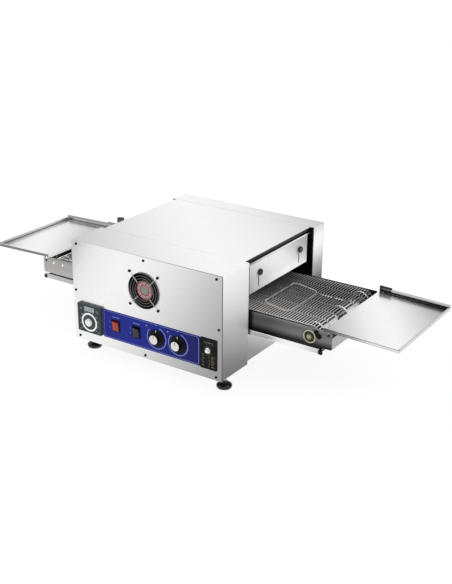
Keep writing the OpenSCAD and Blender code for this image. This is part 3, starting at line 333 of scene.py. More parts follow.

# Many base colours below carry painted light and shade, noted where they stand.
M = {
    # Painted reflections and painted shade across the casing's sheets and the doors, from their shading
    # ramps.
    "panel": brushed("panel_steel", (1, 1, 1), 0.26, grain=0.014, painted_shading=[FRONT_PAINTED_SHADING]),
    "back": brushed("back_panel_steel", (1, 1, 1), 0.28, grain=0.02, painted_shading=[BACK_PAINTED_SHADING]),
    "shell": brushed("shell_steel", (1, 1, 1), 0.45, grain=0.014, painted_shading=[SIDE_PAINTED_SHADING],
                     metallic=0.3),
    "rear_shell": brushed("rear_shell_steel", (1, 1, 1), 0.24, grain=0.014,
                          painted_shading=[REAR_PAINTED_SHADING]),
    "cover": brushed("cover_steel", (1, 1, 1), 0.24, grain=0.012, painted_shading=[TOP_PAINTED_SHADING]),
    # Painted shadow: the lid's outer end faces go near black below the fold.
    "lid_edge": brushed("lid_edge_steel", (0.7, 0.7, 0.7), 0.35,
                        painted_shading=[((0, 0, 1), [(366, 1.0), (368.5, 0.03), (378, 0.03)])]),
    "casing": brushed("casing_steel", (1, 1, 1), 0.3, grain=0.02, painted_shading=[BASE_PAINTED_SHADING]),
    "door": brushed("door_steel", (1, 1, 1), 0.45, along="Y", grain=0.012,
                    painted_shading=[DOOR_PAINTED_SHADING, DOOR_LOW_PAINTED_LIGHT], metallic=0.05),
    # Painted reflection and shade across the landing trays; the lip, back, hem and edge steels are lit
    # and shaded greys of the same sheet.
    "right_tray": brushed("right_tray_steel", (1, 1, 1), 0.22, along="Y", grain=0.02,
                          painted_shading=[RIGHT_TRAY_PAINTED_SHADING]),
    "left_tray": brushed("left_tray_steel", (1, 1, 1), 0.22, along="Y", grain=0.02,
                         painted_shading=[LEFT_TRAY_PAINTED_SHADING]),
    "right_lip": brushed("right_lip_steel", (0.75, 0.75, 0.75), 0.3, painted_shading=RIGHT_LIP_PAINTED_SHADING),
    "right_back": brushed("right_back_steel", (0.7, 0.7, 0.7), 0.35, grain=0.05,
                          painted_shading=BACK_LIP_PAINTED_SHADING),
    "right_hem": brushed("right_hem_steel", (0.5, 0.5, 0.5), 0.3),
    "right_edge": brushed("right_edge_steel", (0.66, 0.66, 0.66), 0.3),
    "left_lip": brushed("left_lip_steel", (0.22, 0.22, 0.22), 0.3),
    "left_back": brushed("left_back_steel", (0.62, 0.62, 0.62), 0.3, painted_shading=LEFT_BACK_PAINTED_SHADING),
    "left_hem": brushed("left_hem_steel", (0.30, 0.30, 0.30), 0.3),
    "left_edge": brushed("left_edge_steel", (0.6, 0.6, 0.6), 0.3, painted_shading=LEFT_BACK_PAINTED_SHADING),
    # Painted shade: the crumb pans are dark inside and vary in grey along their length.
    "crumb": brushed("crumb_steel", (0.92, 0.92, 0.92), 0.28, grain=0.04, painted_shading=CRUMB_PAINTED_SHADING),
    "fold": brushed("fold_steel", (0.9, 0.9, 0.9), 0.25, grain=0.02),
    # Painted shade: dark steel for inner walls, hubs and the chamber ceiling, which stand in shade.
    "inner": brushed("inner_steel", (0.16, 0.16, 0.16), 0.4, grain=0.1),
    # Painted shade: a near-black steel for the rear box's inner wall, which stands in shade.
    "shade_black": brushed("painted_shade_steel", (0.02, 0.019, 0.018), 0.5, grain=0.2),
    # Painted reflection and shade: the side plates' steel is dark grey, darker to the right, with painted
    # shade on inner faces and low down and a painted highlight along the top edge.
    "plate": brushed("front_plate_steel", (0.4, 0.4, 0.4), 0.34, grain=0.08,
                     painted_shading=FRONT_PLATE_PAINTED_SHADING),
    "left_plate": brushed("left_plate_steel", (0.41, 0.405, 0.40), 0.34, grain=0.06,
                          painted_shading=LEFT_PLATE_PAINTED_SHADING),
    "rear_plate": brushed("rear_plate_steel", (0.2, 0.2, 0.2), 0.34, painted_shading=REAR_PLATE_PAINTED_SHADING),
    # Painted shade: near-black steel for the rails and mount that stand in the shade under the belt.
    "rail": brushed("rail_steel", (0.03, 0.03, 0.03), 0.35, grain=0.1),
    "rod": brushed("rod_steel", (0.82, 0.82, 0.82), 0.2, along="Y", grain=0.03),
    # Painted shade: the ties are near black between the side plates and greyer beyond them.
    "tie": brushed("tie_steel", (0.8, 0.8, 0.8), 0.25, along="Y", grain=0.04,
                   painted_shading=[((1, 0, 0), [(-560, 0.5), (-548, 0.5), (-546, 0.03), (546, 0.03),
                                       (548, 0.5), (560, 0.5)])]),
    # Painted shade: the mouth angles go near black below the top of the mouth.
    "mouth": brushed("mouth_steel", (0.85, 0.85, 0.85), 0.25, grain=0.03,
                     painted_shading=[((0, 0, 1), [(200, 0.03), (350, 0.03), (354, 0.9), (380, 1.0)])]),
    # Painted shade on the lower run and inside the belt, painted highlights on the tops of the wires.
    "wire": brushed("wire_steel", (0.62, 0.615, 0.61), 0.3, along="Y", grain=0.04,
                    painted_shading=[WIRE_PAINTED_SHADING, WIRE_X_PAINTED_SHADING, WIRE_Y_PAINTED_SHADING], metallic=0.25),
    # Painted shadow: a dark strip standing for the shadow in the seam round the front panel, darker to
    # the right.
    "seam_shadow": moulded("seam_painted_shadow", (0.5, 0.5, 0.5), 0.6, specular=0.1,
                      painted_shading=[((1, 0, 0), [(-290, 1.0), (-100, 1.0), (60, 0.6), (200, 0.12),
                                          (281, 0.10)])]),
    "ear": brushed("ear_steel", (0.12, 0.12, 0.12), 0.35, along="Z", grain=0.1),
    # Painted highlights: the wires round the wraps and the drums' outer ends are lighter, with painted
    # shade between.
    "turn_wire": brushed("turn_wire_steel", (0.9, 0.9, 0.89), 0.24, along="Y", grain=0.04,
                         painted_shading=[TURN_PAINTED_SHADING], metallic=0.5),
    "drum": brushed("drum_steel", (0.95, 0.95, 0.94), 0.3, along="Y", grain=0.03,
                    painted_shading=[TURN_PAINTED_SHADING, DRUM_PAINTED_SHADING], metallic=0.25),
    "loop": moulded("loop_steel", (1.0, 1.0, 0.99), 0.25, metallic=0.2, specular=0.5),
    "wheel": brushed("wheel_steel", (0.95, 0.95, 0.94), 0.2, along="Y", grain=0.03),
    "guard": brushed("guard_steel", (0.20, 0.20, 0.20), 0.25, grain=0.03),
    "bright": brushed("bright_steel", (0.8, 0.8, 0.8), 0.25, grain=0.03),
    "black_steel": moulded("black_steel", (0.005, 0.005, 0.005), 0.35, specular=0.12),
    "grip": moulded("grip_plastic", (0.018, 0.018, 0.018), 0.3, specular=0.35, relief=0.1),
    "black": moulded("black_plastic", (0.004, 0.004, 0.0045), 0.38, specular=0.1),
    "gloss_black": moulded("gloss_black", (0.004, 0.004, 0.0045), 0.16, relief=0.05,
                           specular=0.45),
    "slate": moulded("slate_plastic", (0.028, 0.038, 0.044), 0.4, specular=0.2),
    "slate_side": moulded("slate_side", (0.05, 0.06, 0.07), 0.4, specular=0.2),
    "lcd": moulded("display_film", (0.34, 0.38, 0.38), 0.25, specular=0.4),
    # Painted shade: the blue film darkens towards the right.
    "blue": moulded("blue_film", (0.006, 0.012, 0.19), 0.3, grain=0.02, relief=0.06,
                    specular=0.15, painted_shading=[BLUE_PAINTED_SHADING]),
    "blue_print": moulded("pale_print", (0.24, 0.28, 0.60), 0.4, relief=0.05),
    "red": moulded("red_rocker", (0.30, 0.022, 0.008), 0.15, specular=0.5, relief=0.03),
    "ivory": moulded("ivory_plastic", (0.66, 0.65, 0.62), 0.32, specular=0.3),
    "mark": moulded("grey_print", (0.16, 0.20, 0.20), 0.4, relief=0.05),
    "white": moulded("white_print", (0.82, 0.82, 0.81), 0.35, relief=0.05),
    "silver": moulded("silver_cap", (0.83, 0.83, 0.82), 0.25, metallic=0.8),
    "bronze": moulded("bearing_bronze", (0.045, 0.042, 0.022), 0.42, metallic=0.7, grain=0.1),
    "shaft_end": moulded("shaft_end_steel", (0.33, 0.34, 0.26), 0.4, metallic=0.3, grain=0.06),
    "collar": moulded("collar_steel", (0.20, 0.20, 0.13), 0.35, metallic=0.4, grain=0.1),
    "cream": moulded("bearing_seal", (0.45, 0.43, 0.32), 0.4, grain=0.05),
    "rose": moulded("hub_rose", (0.33, 0.09, 0.10), 0.4, relief=0.04),
    "pink": moulded("hub_pink", (0.50, 0.33, 0.34), 0.4, relief=0.04),
    "sage": moulded("hub_sage", (0.20, 0.23, 0.19), 0.4, relief=0.04),
    "tan": moulded("tan_print", (0.20, 0.15, 0.09), 0.5, relief=0.05),
    "green": moulded("green_print", (0.06, 0.12, 0.06), 0.5, relief=0.05),
    "oiled": moulded("oiled_steel", (0.05, 0.05, 0.052), 0.3, metallic=0.9, grain=0.1),
    "sheath": moulded("heater_sheath", (0.03, 0.026, 0.024), 0.5, metallic=0.5, grain=0.15),
    "motor": moulded("motor_paint", (0.08, 0.085, 0.09), 0.45, relief=0.3),
    "fibre": moulded("ceramic_fibre", (0.55, 0.53, 0.49), 0.9, relief=0.8, pitch=260),
    "phenolic": moulded("phenolic", (0.06, 0.04, 0.03), 0.5),
    "ceramic": moulded("glazed_ceramic", (0.60, 0.58, 0.53), 0.18, specular=0.5),
}


# ---- mesh tools ----

AXES = {"x": (Vector((0, 1, 0)), Vector((0, 0, 1)), Vector((1, 0, 0))),
        "y": (Vector((1, 0, 0)), Vector((0, 0, 1)), Vector((0, 1, 0))),
        "z": (Vector((1, 0, 0)), Vector((0, 1, 0)), Vector((0, 0, 1)))}


def piece(name, bm, body, materials, replaces=(), smooth=35):
    """Makes an object of a mesh drawn in millimetres, in place, and rides it on a CAD body."""
    bmesh.ops.recalc_face_normals(bm, faces=bm.faces)
    if not bm.faces.layers.int.get("flat"):
        mark_flat(bm, flat_planes(bm))
    flat = bm.faces.layers.int.get("flat")
    curved = [not face[flat] for face in bm.faces]
    bmesh.ops.scale(bm, vec=(MM, MM, MM), verts=bm.verts)
    mesh = bpy.data.meshes.new(name)
    bm.to_mesh(mesh)
    bm.free()
    for key in materials:
        mesh.materials.append(M[key])
    mesh.set_sharp_from_angle(angle=math.radians(smooth))
    mesh.polygons.foreach_set("use_smooth", curved)
    made = bpy.data.objects.new(name, mesh)
    bpy.context.scene.collection.objects.link(made)
    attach(made, body)
    if replaces:
        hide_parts(*replaces)
    return made


def skin(bm, verts, index):
    """Adds a face with a material index."""
    bm.faces.new(verts).material_index = index


def loft(bm, rings, index=0, closed=True, caps=True):
    """Skins rings of points. A ring of one point closes to a tip."""
    made = [[bm.verts.new(p) for p in ring] for ring in rings]
    for low, high in zip(made, made[1:]):
        n = max(len(low), len(high))
        for k in range(n if closed else n - 1):
            corners = [low[k % len(low)], low[(k + 1) % len(low)],
                       high[(k + 1) % len(high)], high[k % len(high)]]
            unique = list(dict.fromkeys(corners))
            if len(unique) > 2:
                skin(bm, unique, index)
    if caps and closed:
        for ring in (made[0], made[-1]):
            if len(ring) > 2:
                skin(bm, ring, index)
    return made


def fill(bm, edges, index):
    """Fills the space between loops of edges in one plane."""
    for item in bmesh.ops.triangle_fill(bm, edges=edges, use_beauty=True)["geom"]:
        if isinstance(item, bmesh.types.BMFace):
            item.material_index = index


def lathe(bm, at, axis, profile, segments=48, index=0, flutes=0, caps=True):
    """Turns a profile of (radius, height along the axis, depth of flutes) about an axis."""
    u, v, w = AXES[axis]
    rings = []
    for radius, height, *depth in profile:
        if radius == 0:
            rings.append([Vector(at) + w * height])
            continue
        ring = []
        for k in range(segments):
            angle = 2 * math.pi * k / segments
            cut = depth[0] * (0.5 - 0.5 * math.cos(flutes * angle)) if depth else 0
            r = radius - cut
            spot = Vector(at) + w * height + u * (r * math.cos(angle))
            ring.append(spot + v * (r * math.sin(angle)))
        rings.append(ring)
    return loft(bm, rings, index, caps=caps)


def prism(bm, outline, axis, low, high, index=0):
    """Extrudes an outline in the plane across an axis from low to high."""
    u, v, w = AXES[axis]
    rings = [[u * a + v * b + w * c for a, b in outline] for c in (low, high)]
    return loft(bm, rings, index)


def slab(bm, low, high, index=0):
    """A block between two corners."""
    outline = [(low[0], low[1]), (high[0], low[1]), (high[0], high[1]), (low[0], high[1])]
    return prism(bm, outline, "z", low[2], high[2], index)


def tube(bm, path, radius, sides=8, closed=False, index=0):
    """Sweeps a round section along a line of points."""
    path = [Vector(p) for p in path]
    n = len(path)
    rings = []
    across = None
    for k, here in enumerate(path):
        before = path[k - 1] if k or closed else here
        after = path[(k + 1) % n] if k < n - 1 or closed else here
        along = (after - before).normalized()
        if across is None:
            across = along.orthogonal().normalized()
        across = (across - along * across.dot(along)).normalized()
        side = along.cross(across)
        rings.append([here + across * (radius * math.cos(2 * math.pi * s / sides))
                      + side * (radius * math.sin(2 * math.pi * s / sides))
                      for s in range(sides)])
    if closed:
        rings.append(rings[0])
        made = loft(bm, rings, index, caps=False)
        bmesh.ops.remove_doubles(bm, verts=made[0] + made[-1], dist=0.001)
        return
    loft(bm, rings, index)


def bar(bm, axis, at, radius, low, high, index=0, segments=24, edge=0.4):
    """A round bar along an axis, with small chamfers on its ends."""
    start = Vector(at)
    start["xyz".index(axis)] = 0
    lathe(bm, start, axis, [(radius - edge, low), (radius, low + edge), (radius, high - edge),
                            (radius - edge, high)], segments, index)


def arc(centre, radius, start, end, steps):
    """Points on an arc, angles in degrees."""
    return [(centre[0] + radius * math.cos(math.radians(start + (end - start) * k / steps)),
             centre[1] + radius * math.sin(math.radians(start + (end - start) * k / steps)))
            for k in range(steps + 1)]


def round_box(low, high, radius, steps=5):
    """Outline of a rectangle with round corners."""
    corners = [(high[0] - radius, high[1] - radius, 0), (low[0] + radius, high[1] - radius, 90),
               (low[0] + radius, low[1] + radius, 180), (high[0] - radius, low[1] + radius, 270)]
    return [p for x, y, turn in corners for p in arc((x, y), radius, turn, turn + 90, steps)]


def folded(points, thickness, bend, steps=5):
    """Outline of a sheet folded along a line of points: it lies to the left of the line."""
    points = [Vector(p) for p in points]
    line = [points[0]]
    for before, corner, after in zip(points, points[1:], points[2:]):
        back, ahead = (before - corner).normalized(), (after - corner).normalized()
        half = back.angle(ahead) / 2
        centre = corner + (back + ahead).normalized() * (bend / math.sin(half))
        start = corner + back * (bend / math.tan(half)) - centre
        turn = math.copysign(math.pi - 2 * half, -back.cross(ahead))
        line += [centre + Matrix.Rotation(turn * k / steps, 2) @ start
                 for k in range(steps + 1)]
    line.append(points[-1])
    inner = []
    for k, here in enumerate(line):
        along = (line[min(k + 1, len(line) - 1)] - line[max(k - 1, 0)]).normalized()
        inner.append(here + Vector((-along.y, along.x)) * thickness)
    return [tuple(p) for p in line + inner[::-1]]


def plane_of(face):
    """A face's plane as a key. Faces in one plane share it."""
    normal = face.normal
    return tuple(round(v, 2) for v in (*normal, normal.dot(face.verts[0].co) / 10))


def flat_planes(bm):
    """Planes of the faces that aren't one facet among others of a curve."""
    bm.normal_update()
    facets = set()
    for edge in bm.edges:
        if len(edge.link_faces) == 2 and 1 < math.degrees(edge.calc_face_angle(0)) < 40:
            first, second = edge.link_faces
            sizes = first.calc_area(), second.calc_area()
            if sizes[1] > 0.3 * sizes[0]:
                facets.add(first)
            if sizes[0] > 0.3 * sizes[1]:
                facets.add(second)
    return {plane_of(face) for face in bm.faces if face not in facets}


def mark_flat(bm, planes):
    """Notes which faces lie in the given planes, to be shaded flat."""
    bm.normal_update()
    flat = bm.faces.layers.int.get("flat") or bm.faces.layers.int.new("flat")
    for face in bm.faces:
        face[flat] = int(plane_of(face) in planes)


def soften(bm, width, segments=2, limit=40, index=-1):
    """Rounds every edge sharper than a limit."""
    planes = flat_planes(bm)
    sharp = [e for e in bm.edges
             if len(e.link_faces) == 2 and e.calc_face_angle(0) > math.radians(limit)]
    bmesh.ops.bevel(bm, geom=sharp, offset=width, offset_type="OFFSET", segments=segments,
                    profile=0.5, affect="EDGES", clamp_overlap=True, material=index)
    mark_flat(bm, planes)


def paint(bm, index, test):
    """Gives a material index to the faces that pass a test of (centre, normal)."""
    bmesh.ops.recalc_face_normals(bm, faces=bm.faces)
    for face in bm.faces:
        if test(face.calc_center_median(), face.normal):
            face.material_index = index


def from_node(node):
    """A CAD node's mesh as flat faces, in millimetres, ready to be rounded."""
    bm = bmesh.new()
    bm.from_mesh(NODES[node].data)
    bmesh.ops.scale(bm, vec=(1 / MM,) * 3, verts=bm.verts)
    bmesh.ops.remove_doubles(bm, verts=bm.verts, dist=0.002)
    bmesh.ops.dissolve_limit(bm, angle_limit=math.radians(0.5), verts=bm.verts, edges=bm.edges)
    for face in bm.faces:
        face.material_index = 0
    return bm


def mirror_x(bm, shift=0):
    """Turns a right-hand mesh into the left-hand one."""
    for vert in bm.verts:
        vert.co.x = shift - vert.co.x


def screw_head(bm, at, axis, sign, radius, height, index=0):
    """A pan head with a cross recess. Sign says which way along the axis it looks."""
    u, v, w = AXES[axis]
    w = w * sign
    at = Vector(at)
    n = 28
    shape = [(radius, 0), (radius, 0.45 * height), (0.86 * radius, 0.82 * height),
             (0.6 * radius, height)]
    rings = [[at + w * h + (u * math.cos(2 * math.pi * k / n) + v * math.sin(2 * math.pi * k / n)) * r
              for k in range(n)] for r, h in shape]
    made = loft(bm, rings, index, caps=False)
    skin(bm, made[0], index)
    long, short = 0.42 * radius, 0.11 * radius
    quarter = [(long, -short), (long, short), (short, short)]
    cross = []
    for turn in range(4):
        for a, b in quarter:
            for _ in range(turn):
                a, b = -b, a
            cross.append((a, b))
    levels = [[at + w * (height - drop) + u * (a * k) + v * (b * k) for a, b in cross]
              for drop, k in ((0, 1), (0.6 * height, 0.75))]
    recess = loft(bm, levels, index, caps=False)
    skin(bm, recess[1], index)
    rim = made[-1]
    border = [bm.edges.get((rim[k - 1], rim[k])) for k in range(n)]
    inside = [bm.edges.get((recess[0][k - 1], recess[0][k])) for k in range(len(cross))]
    fill(bm, border + inside, index)


# ---- driving places, from the frame ----

PANEL = span("front_panel")
SHELL = span("control_box_shell")
REAR = span("rear_box_shell")
COVER = span("tunnel_cover")
BELT = span("conveyor_belt")
BACK = span("back_panel")
PLATE = span("front_side_plate")
REAR_PLATE = span("rear_side_plate")
FRONT_Y = PANEL[0].y
BACK_Y = BACK[1].y
BOTTOM_Z, TOP_Z = PANEL[0].z, PANEL[1].z
SHEET = 1.2
SHAFT = joint_at("drive_roller_spin")


# ---- casing ----

def casing_shell(node, name, flange_y, steel):
    """The wrap of a box: one sheet folded round four corners, with a flange for its panel."""
    low, high = span(node)
    bm = bmesh.new()
    wrap = [(0, low.z), (high.x, low.z), (high.x, high.z), (low.x, high.z), (low.x, low.z),
            (-0.4, low.z)]
    prism(bm, folded(wrap, SHEET, 2.4, 6), "y", low.y, high.y)
    inset, width = SHEET + 0.2, 15
    for x in (low.x + inset, high.x - inset - width):
        slab(bm, (x, flange_y, low.z + inset), (x + width, flange_y + SHEET, high.z - inset))
    for z in (low.z + inset, high.z - inset - width):
        slab(bm, (low.x + inset + width, flange_y + 0.1, z),
             (high.x - inset - width, flange_y + SHEET, z + width))
    soften(bm, 0.35, index=1)
    # The top face takes the cover steel with its painted shading.
    paint(bm, 2, lambda c, n: n.z > 0.7 and c.z > high.z - 5)
    piece(name, bm, ROOT, [steel, "fold", "cover"], [node])


def softened(node, name, materials, width=0.35, segments=2, body=ROOT, limit=40):
    """A CAD node with its edges rounded; the rounded edges take the second material."""
    bm = from_node(node)
    soften(bm, width, segments, limit, 1 if len(materials) > 1 else -1)
    return piece(name, bm, body, materials, [node])


def add_casing():
    """The casing's sheets, with the louvres, a dark strip of painted shadow in the seam, clips and screws
    on them.
    """
    softened("front_panel", "front_panel_sheet", ["panel", "fold"], 0.5)
    softened("back_panel", "back_panel_sheet", ["back", "fold"], 0.4)
    casing_shell("control_box_shell", "control_box_wrap", SHELL[0].y, "shell")
    casing_shell("rear_box_shell", "rear_box_wrap", REAR[1].y - SHEET, "rear_shell")
    low, high = COVER
    bm = bmesh.new()
    lid = [(high.x, low.z), (high.x, high.z), (low.x, high.z), (low.x, low.z)]
    prism(bm, folded(lid, SHEET, 2, 6), "y", low.y, high.y)
    soften(bm, 0.3, index=1)
    # The lid's outer end faces take the steel with the painted shadow.
    paint(bm, 2, lambda c, n: n.x * c.x > 0.35 * abs(c.x) and abs(c.x) > high.x - 3)
    piece("tunnel_lid", bm, ROOT, ["cover", "fold", "lid_edge"], ["tunnel_cover"])
    softened("base_pan", "base_pan_sheet", ["casing", "fold"], 0.3)
    softened("end_frames", "mouth_angles", ["mouth"], 0.3)
    softened("control_box_inner_wall", "front_inner_wall", ["inner", "fold"], 0.3)
    # The rear inner wall takes the near-black steel of painted shade.
    softened("rear_box_inner_wall", "rear_inner_wall", ["shade_black", "inner"], 0.3)
    add_louvres()
    add_seam_shadow()
    add_clips()
    add_screws()


def add_seam_shadow():
    """A dark strip of painted shadow in the seam between the front panel and the wrap behind it, darker
    to the right.
    """
    low, high = span("control_box_shell")
    seam = PANEL[0].y + SHEET
    bm = bmesh.new()
    out = 0.15
    outer = round_box((low.x - out, low.z - out), (high.x + out, high.z + out), 2.4)
    inner = round_box((low.x + 2, low.z + 2), (high.x - 2, high.z - 2), 1.5)
    ring_prism(bm, outer, inner, "y", seam - 0.1, seam + 3.0)
    piece("front_panel_seam_shadow", bm, ROOT, ["seam_shadow"])


def add_clips():
    """A stop by the right bearing, an ear on the rear plate and a clip on each crumb tray."""
    hook = [(497, 213), (506, 213), (508, 204), (517, 200), (518.5, 193), (514, 190),
            (508, 192), (500, 197), (496.5, 204)]
    bm = bmesh.new()
    prism(bm, hook, "y", PLATE[0].y - 4, PLATE[0].y + 0.2)
    soften(bm, 0.6)
    bar(bm, "y", (511, 0, 196), 2.6, PLATE[0].y - 6, PLATE[0].y - 3.9, segments=20)
    piece("belt_stop_hook", bm, ROOT, ["black"])
    y = REAR_PLATE[1].y
    ear = [(-524, 200), (-492, 200), (-492, 268), (-497, 270), (-524, 265)]
    bm = bmesh.new()
    prism(bm, ear, "y", y, y + 1.5)
    soften(bm, 0.4)
    screw_head(bm, (-508, y + 1.5, 210), "y", 1, 3.5, 2, 1)
    piece("rear_belt_ear", bm, ROOT, ["ear", "black_steel"])
    for side, sign in (("right", 1), ("left", -1)):
        low, high = span(side + "_crumb_tray")
        end = (high.x if sign > 0 else -low.x - 6) - 10
        bm = bmesh.new()
        slab(bm, (end - 3, low.y - 1.6, low.z + 1), (end + 8, low.y + 8, low.z + 12))
        slab(bm, (end + 1, low.y + 1, low.z - 1.2), (end + 7, low.y + 7, low.z + 1.5))
        soften(bm, 0.9)
        if sign < 0:
            mirror_x(bm)
        piece(side + "_crumb_clip", bm, side + "_crumb_tray", ["black"])


def add_louvres():
    """Pressed hoods over the slots of the back panel."""
    bm = bmesh.new()
    steps, ribs, reach, half_w, half_h = 6, 12, 4.2, 48, 5
    first_row, row_pitch, sheet = 250, 14, 0.8
    for x0 in (-150, 0, 150):
        for row in range(6):
            z0 = first_row + row_pitch * row
            outer, inner = [], []
            for r in range(ribs + 1):
                along = -1 + 2 * r / ribs
                bulge = max(0.0, 1 - along ** 6)
                for ring, cut in ((outer, 0), (inner, sheet)):
                    line = []
                    for s in range(steps + 1):
                        turn = math.pi / 2 * s / steps
                        out = max(0.02, (reach * bulge - cut) * math.sin(turn))
                        fall = (2 * half_h - cut) * (1 - math.cos(turn)) * 0.9
                        line.append(Vector((x0 + along * (half_w - cut), BACK_Y + out,
                                            z0 + (half_h - cut) - fall)))
                    ring.append(line)
            rings = [o + i[::-1] for o, i in zip(outer, inner)]
            loft(bm, rings)
    piece("back_louvres", bm, ROOT, ["back"])


def add_screws():
    """Screws round the front and the back panel."""
    low, high = span("panel_screws")
    head_r, head_h = 5, 2.5
    drawn_r = 4.1
    bm = bmesh.new()
    places = [(x, z) for x in (low.x + head_r + 9, 0, high.x - head_r - 9)
              for z in (low.z + head_r, high.z - head_r)]
    places += [(x, (BOTTOM_Z + TOP_Z) / 2) for x in (low.x + head_r, high.x - head_r)]
    for x, z in places:
        screw_head(bm, (x, FRONT_Y, z), "y", -1, drawn_r, head_h)
        screw_head(bm, (x, BACK_Y, z), "y", 1, drawn_r, head_h)
        for y0, y1 in ((FRONT_Y, FRONT_Y + 9), (BACK_Y - 9, BACK_Y)):
            lathe(bm, (x, 0, z), "y", thread(2, y0, y1, 1.0), 16)
    piece("panel_screw_set", bm, ROOT, ["black_steel"], ["panel_screws"])


def thread(radius, low, high, pitch, depth=0.35):
    """Profile of a screw thread, drawn as rings."""
    turns = max(1, int((high - low) / pitch))
    step = (high - low) / turns
    profile = [(radius - depth, low)]
    for k in range(turns):
        profile += [(radius, low + (k + 0.5) * step), (radius - depth, low + (k + 1) * step)]
    return profile


# ---- doors ----

def add_doors():
    """The two lifting doors and their thumbscrews."""
    for side in ("right", "left"):
        softened(side + "_door", side + "_door_sheet", ["door", "fold"], 0.35, body=side + "_door")
        for end in ("front", "rear"):
            node = f"{side}_door_{end}_thumbscrew"
            low, high = span(node)
            at = joint_at(node + "_turn")
            bm = bmesh.new()
            # drawn for the right-hand door, pointing out along +X
            outer = max(abs(low.x), abs(high.x))
            inner = min(abs(low.x), abs(high.x))
            head, rim = outer - 7, (high.y - low.y) / 2
            lathe(bm, (0, at.y, at.z), "x", thread(2.5, inner, head - 1.5, 1.2), 24)
            lathe(bm, (0, at.y, at.z), "x",
                  [(rim - 3.4, head - 2), (rim - 3, head - 1.6), (rim - 3, head),
                   (rim - 0.9, head + 0.1), (rim, head + 1, 1.3), (rim, outer - 1, 1.3),
                   (rim - 1.2, outer, 0.4), (rim - 4, outer - 0.1), (rim - 5, outer - 0.7),
                   (0, outer - 0.7)], 72, flutes=18)
            if side == "left":
                mirror_x(bm)
            piece(node + "_knob", bm, node, ["grip"], [node])


# ---- conveyor ----

STRANDS_RUN = 102        # strands along one straight run
STRANDS_WRAP = 10        # strands round half a wheel
WIRE_R = 1.5
PITCH = 2 * SHAFT.x / STRANDS_RUN
WRAP_R = PITCH * 2 * STRANDS_WRAP / (2 * math.pi)
LINK_COLUMNS = (-71, -19, 33, 95, 151)
TRACKS = (-108, 37, 175)


def belt_place(s):
    """Point on the middle line of the belt at distance s, its direction and its outward normal."""
    run, wrap = 2 * SHAFT.x, math.pi * WRAP_R
    s %= 2 * (run + wrap)
    flip = 1
    if s >= run + wrap:
        s -= run + wrap
        flip = -1
    if s < run:
        point, along = Vector((s - SHAFT.x, 0, WRAP_R)), Vector((1, 0, 0))
    else:
        turn = (s - run) / WRAP_R
        point = Vector((SHAFT.x + WRAP_R * math.sin(turn), 0, WRAP_R * math.cos(turn)))
        along = Vector((math.cos(turn), 0, -math.sin(turn)))
    out = Vector((-along.z, 0, along.x))
    return (point * flip + Vector((0, 0, SHAFT.z)), along * flip, out * flip)


def strand_line():
    """One strand of the belt as (y, distance along the belt, lift): hooked edges and Z-bends."""
    y0, y1 = BELT[0].y + WIRE_R + 0.2, BELT[1].y - WIRE_R - 0.2
    p = PITCH
    hook = [(6.5, -0.98 * p, -1.6), (3.4, -1.0 * p, -3.0), (0.8, -0.8 * p, -3.6),
            (0.0, -0.4 * p, -2.6), (0.9, -0.08 * p, -0.9), (3.6, 0, 0)]
    bend = [(-4.4, 0, 0), (-2.0, 0.42 * p, 0.2), (2.0, 0.42 * p, 0.2), (4.4, 0, 0)]
    line = [(y0 + y, s, lift) for y, s, lift in hook]
    for column in LINK_COLUMNS:
        line += [(column + y, s, lift) for y, s, lift in bend]
    line += [(y1 - y, s, lift) for y, s, lift in hook[::-1]]
    return line


def add_belt():
    """Every strand of both runs and both wraps, as wire."""
    bm = bmesh.new()
    line = strand_line()
    for strand in range(2 * (STRANDS_RUN + STRANDS_WRAP)):
        middle = (strand + 0.5) * PITCH
        path = []
        for y, s, lift in line:
            point, _, out = belt_place(middle + s)
            path.append(point + Vector((0, y, 0)) + out * lift)
        tube(bm, path, WIRE_R, 6)
    # The wraps and the near edge take the wire steel with painted highlights.
    paint(bm, 1, lambda c, n: c.z > SHAFT.z - 8 and
          (abs(c.x) > SHAFT.x + 6 or c.y < BELT[0].y + 5))
    piece("wire_belt", bm, ROOT, ["wire", "turn_wire"], ["conveyor_belt"],
          smooth=180)


def toothed(n, root, tip, width_root, width_tip, phase):
    """Outline of a wheel with n teeth."""
    outline = []
    for tooth in range(n):
        middle = phase + 2 * math.pi * tooth / n
        for radius, width in ((root, -width_root), (tip, -width_tip), (tip, width_tip),
                              (root, width_root)):
            angle = middle + width / 2 / radius
            outline.append((radius * math.cos(angle), radius * math.sin(angle)))
        gap_mid = middle + math.pi / n
        outline.append((root * math.cos(gap_mid), root * math.sin(gap_mid)))
    return outline


